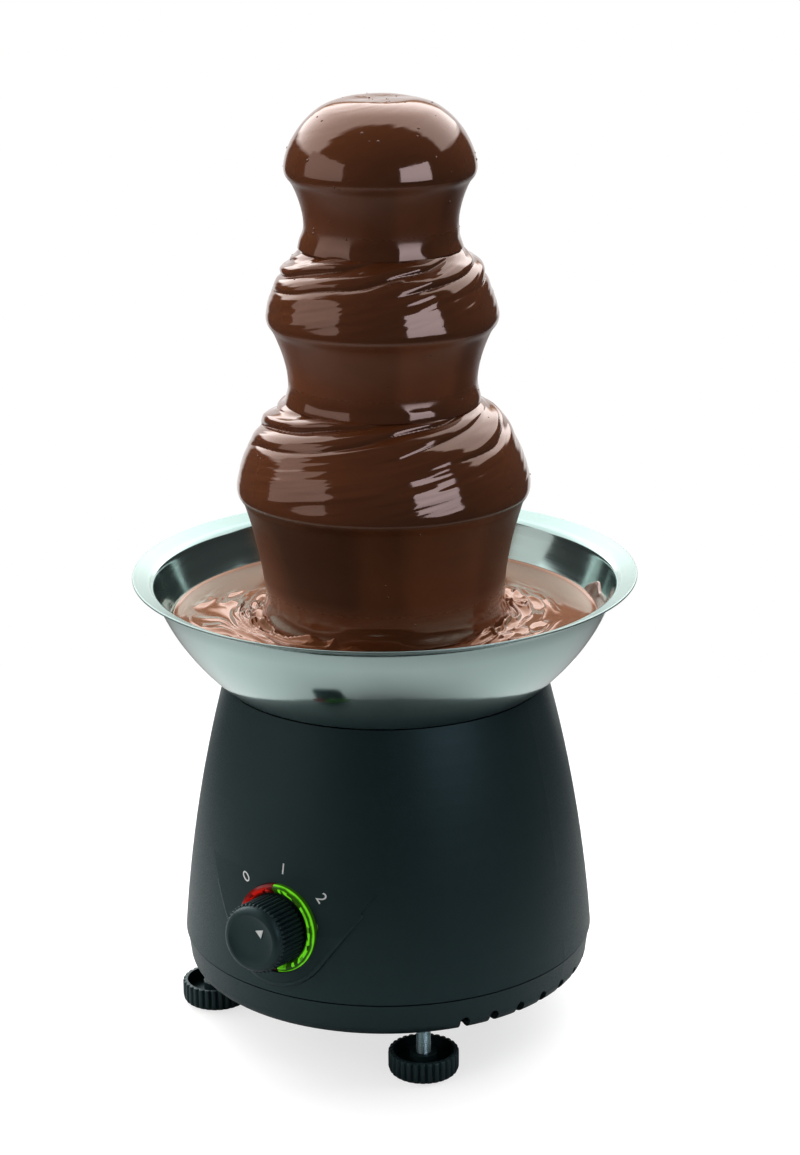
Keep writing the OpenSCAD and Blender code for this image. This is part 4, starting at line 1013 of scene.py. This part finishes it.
def hangBox(name, azimuth, distance, height, width, tall, radiance, colour, lights):
    shape = bmesh.new()
    bmesh.ops.create_grid(shape, x_segments=1, y_segments=1, size=0.5)
    box = addObject(name, meshFrom(name, shape, boxGlow(name, radiance, colour, lights)))
    aim = turnToView @ Matrix.Rotation(math.radians(azimuth), 4, "Z")
    stand = aim @ Matrix.Translation((0, -distance, height)) @ Matrix.Rotation(math.pi / 2, 4, "X")
    box.matrix_world = stand @ Matrix.Diagonal((width, tall, 1, 1))
    box.visible_camera = box.visible_shadow = box.visible_transmission = False


def lightStudio():
    for box in studio["boxes"]:
        hangBox(*box)
    world = bpy.data.worlds.new("studio")
    world.use_nodes = True
    scene.world = world
    tree = world.node_tree
    aim = placeOn(tree, "Generated")
    glossy = rayIs(tree, "Glossy")

    def towards(direction):
        node = addNode(tree, "ShaderNodeVectorMath", {"operation": "DOT_PRODUCT"})
        feed(tree, node.inputs[0], aim)
        feed(tree, node.inputs[1], turnToView.to_3x3() @ Vector(direction))
        return node.outputs["Value"]

    def highest(one, two):
        return blendOf(tree, "MAXIMUM", one, two)

    def notRay(ray):
        return blendOf(tree, "SUBTRACT", 1.0, ray)

    near, up = towards((0, -1, 0)), towards((0, 0, 1))
    leftSlope, rightSlope = studio["sideSlope"]
    aside = highest(towards((rightSlope, 0, 0)), towards((-leftSlope, 0, 0)))
    over, gain, reached, late = studio["sweep"]
    climb = blendOf(tree, "POWER", spread(tree, near, 0, 1, 0, reached), late)
    sweep = product(tree, blendOf(tree, "ADD", product(tree, climb, gain), over),
                    spread(tree, near, 0, 1, *studio["frontEdge"]),
                    spread(tree, blendOf(tree, "SUBTRACT", up, aside), 0, 1, *studio["sideEdge"]),
                    spread(tree, near, 1, studio["behind"], *studio["fades"]))
    across = highest(towards((1, 0, 0)), towards((-1, 0, 0)))
    panel = product(tree, spread(tree, up, studio["panel"], 0, *studio["panelTop"]),      # low down behind
                    spread(tree, near, 0, 1, *studio["panelFront"]),
                    spread(tree, across, 1, 0, *studio["panelSide"]))
    seen = highest(highest(sweep, panel), studio["dark"])
    seen = product(tree, seen, spread(tree, glossy, studio["matt"], 1, 0, 1))
    level, full, none = studio["bounce"]      # thrown up from the room below, which only matt surfaces show
    seen = highest(seen, product(tree, spread(tree, up, level, 0, full, none), notRay(glossy)))
    for ray in (rayIs(tree, "Camera"), rayIs(tree, "Transmission")):       # white to both
        seen = highest(product(tree, seen, notRay(ray)), ray)
    hue = addNode(tree, "ShaderNodeMix", {"data_type": "RGBA"}, A=(1, 1, 1, 1), B=(*studio["warm"], 1))
    warmth = product(tree, spread(tree, near, 0, 1, *studio["fades"]),      # the wall above the panel is warm
                     spread(tree, up, 0, 1, *studio["panelTop"]), glossy)
    feed(tree, hue.inputs["Factor"], warmth)
    feed(tree, tree.nodes["Background"].inputs["Color"], hue.outputs["Result"])
    feed(tree, tree.nodes["Background"].inputs["Strength"], seen)


# Floor: a pale round cloth, brightest near the object; the camera sees all of it white but for the shadow
floorSizes = {"radius": 0.46, "aside": -0.05, "fades": (0.18, 0.42), "tones": (0.36, 0.08),
              "glows": (0.70, 1.0)}


def layFloor():
    size = floorSizes
    finish, tree, shader = newFinish("paleFloor", **{"Roughness": 0.9, "Specular IOR Level": 0.0,
                                                     "Emission Color": (1, 1, 1, 1)})
    reach = lengthOf(tree, placeOn(tree))
    tree.links.new(spread(tree, reach, *size["tones"], *size["fades"]), shader.inputs["Base Color"])
    glow = product(tree, rayIs(tree, "Camera"), spread(tree, reach, *size["glows"], *size["fades"]))
    tree.links.new(glow, shader.inputs["Emission Strength"])
    shape = bmesh.new()
    bmesh.ops.create_circle(shape, cap_ends=True, segments=128, radius=size["radius"])
    floor = addObject("floor", meshFrom("floor", shape, finish))
    floor.matrix_world = turnToView @ Matrix.Translation((size["aside"], 0, 0))


lightStudio()
layFloor()
print("studio lit")
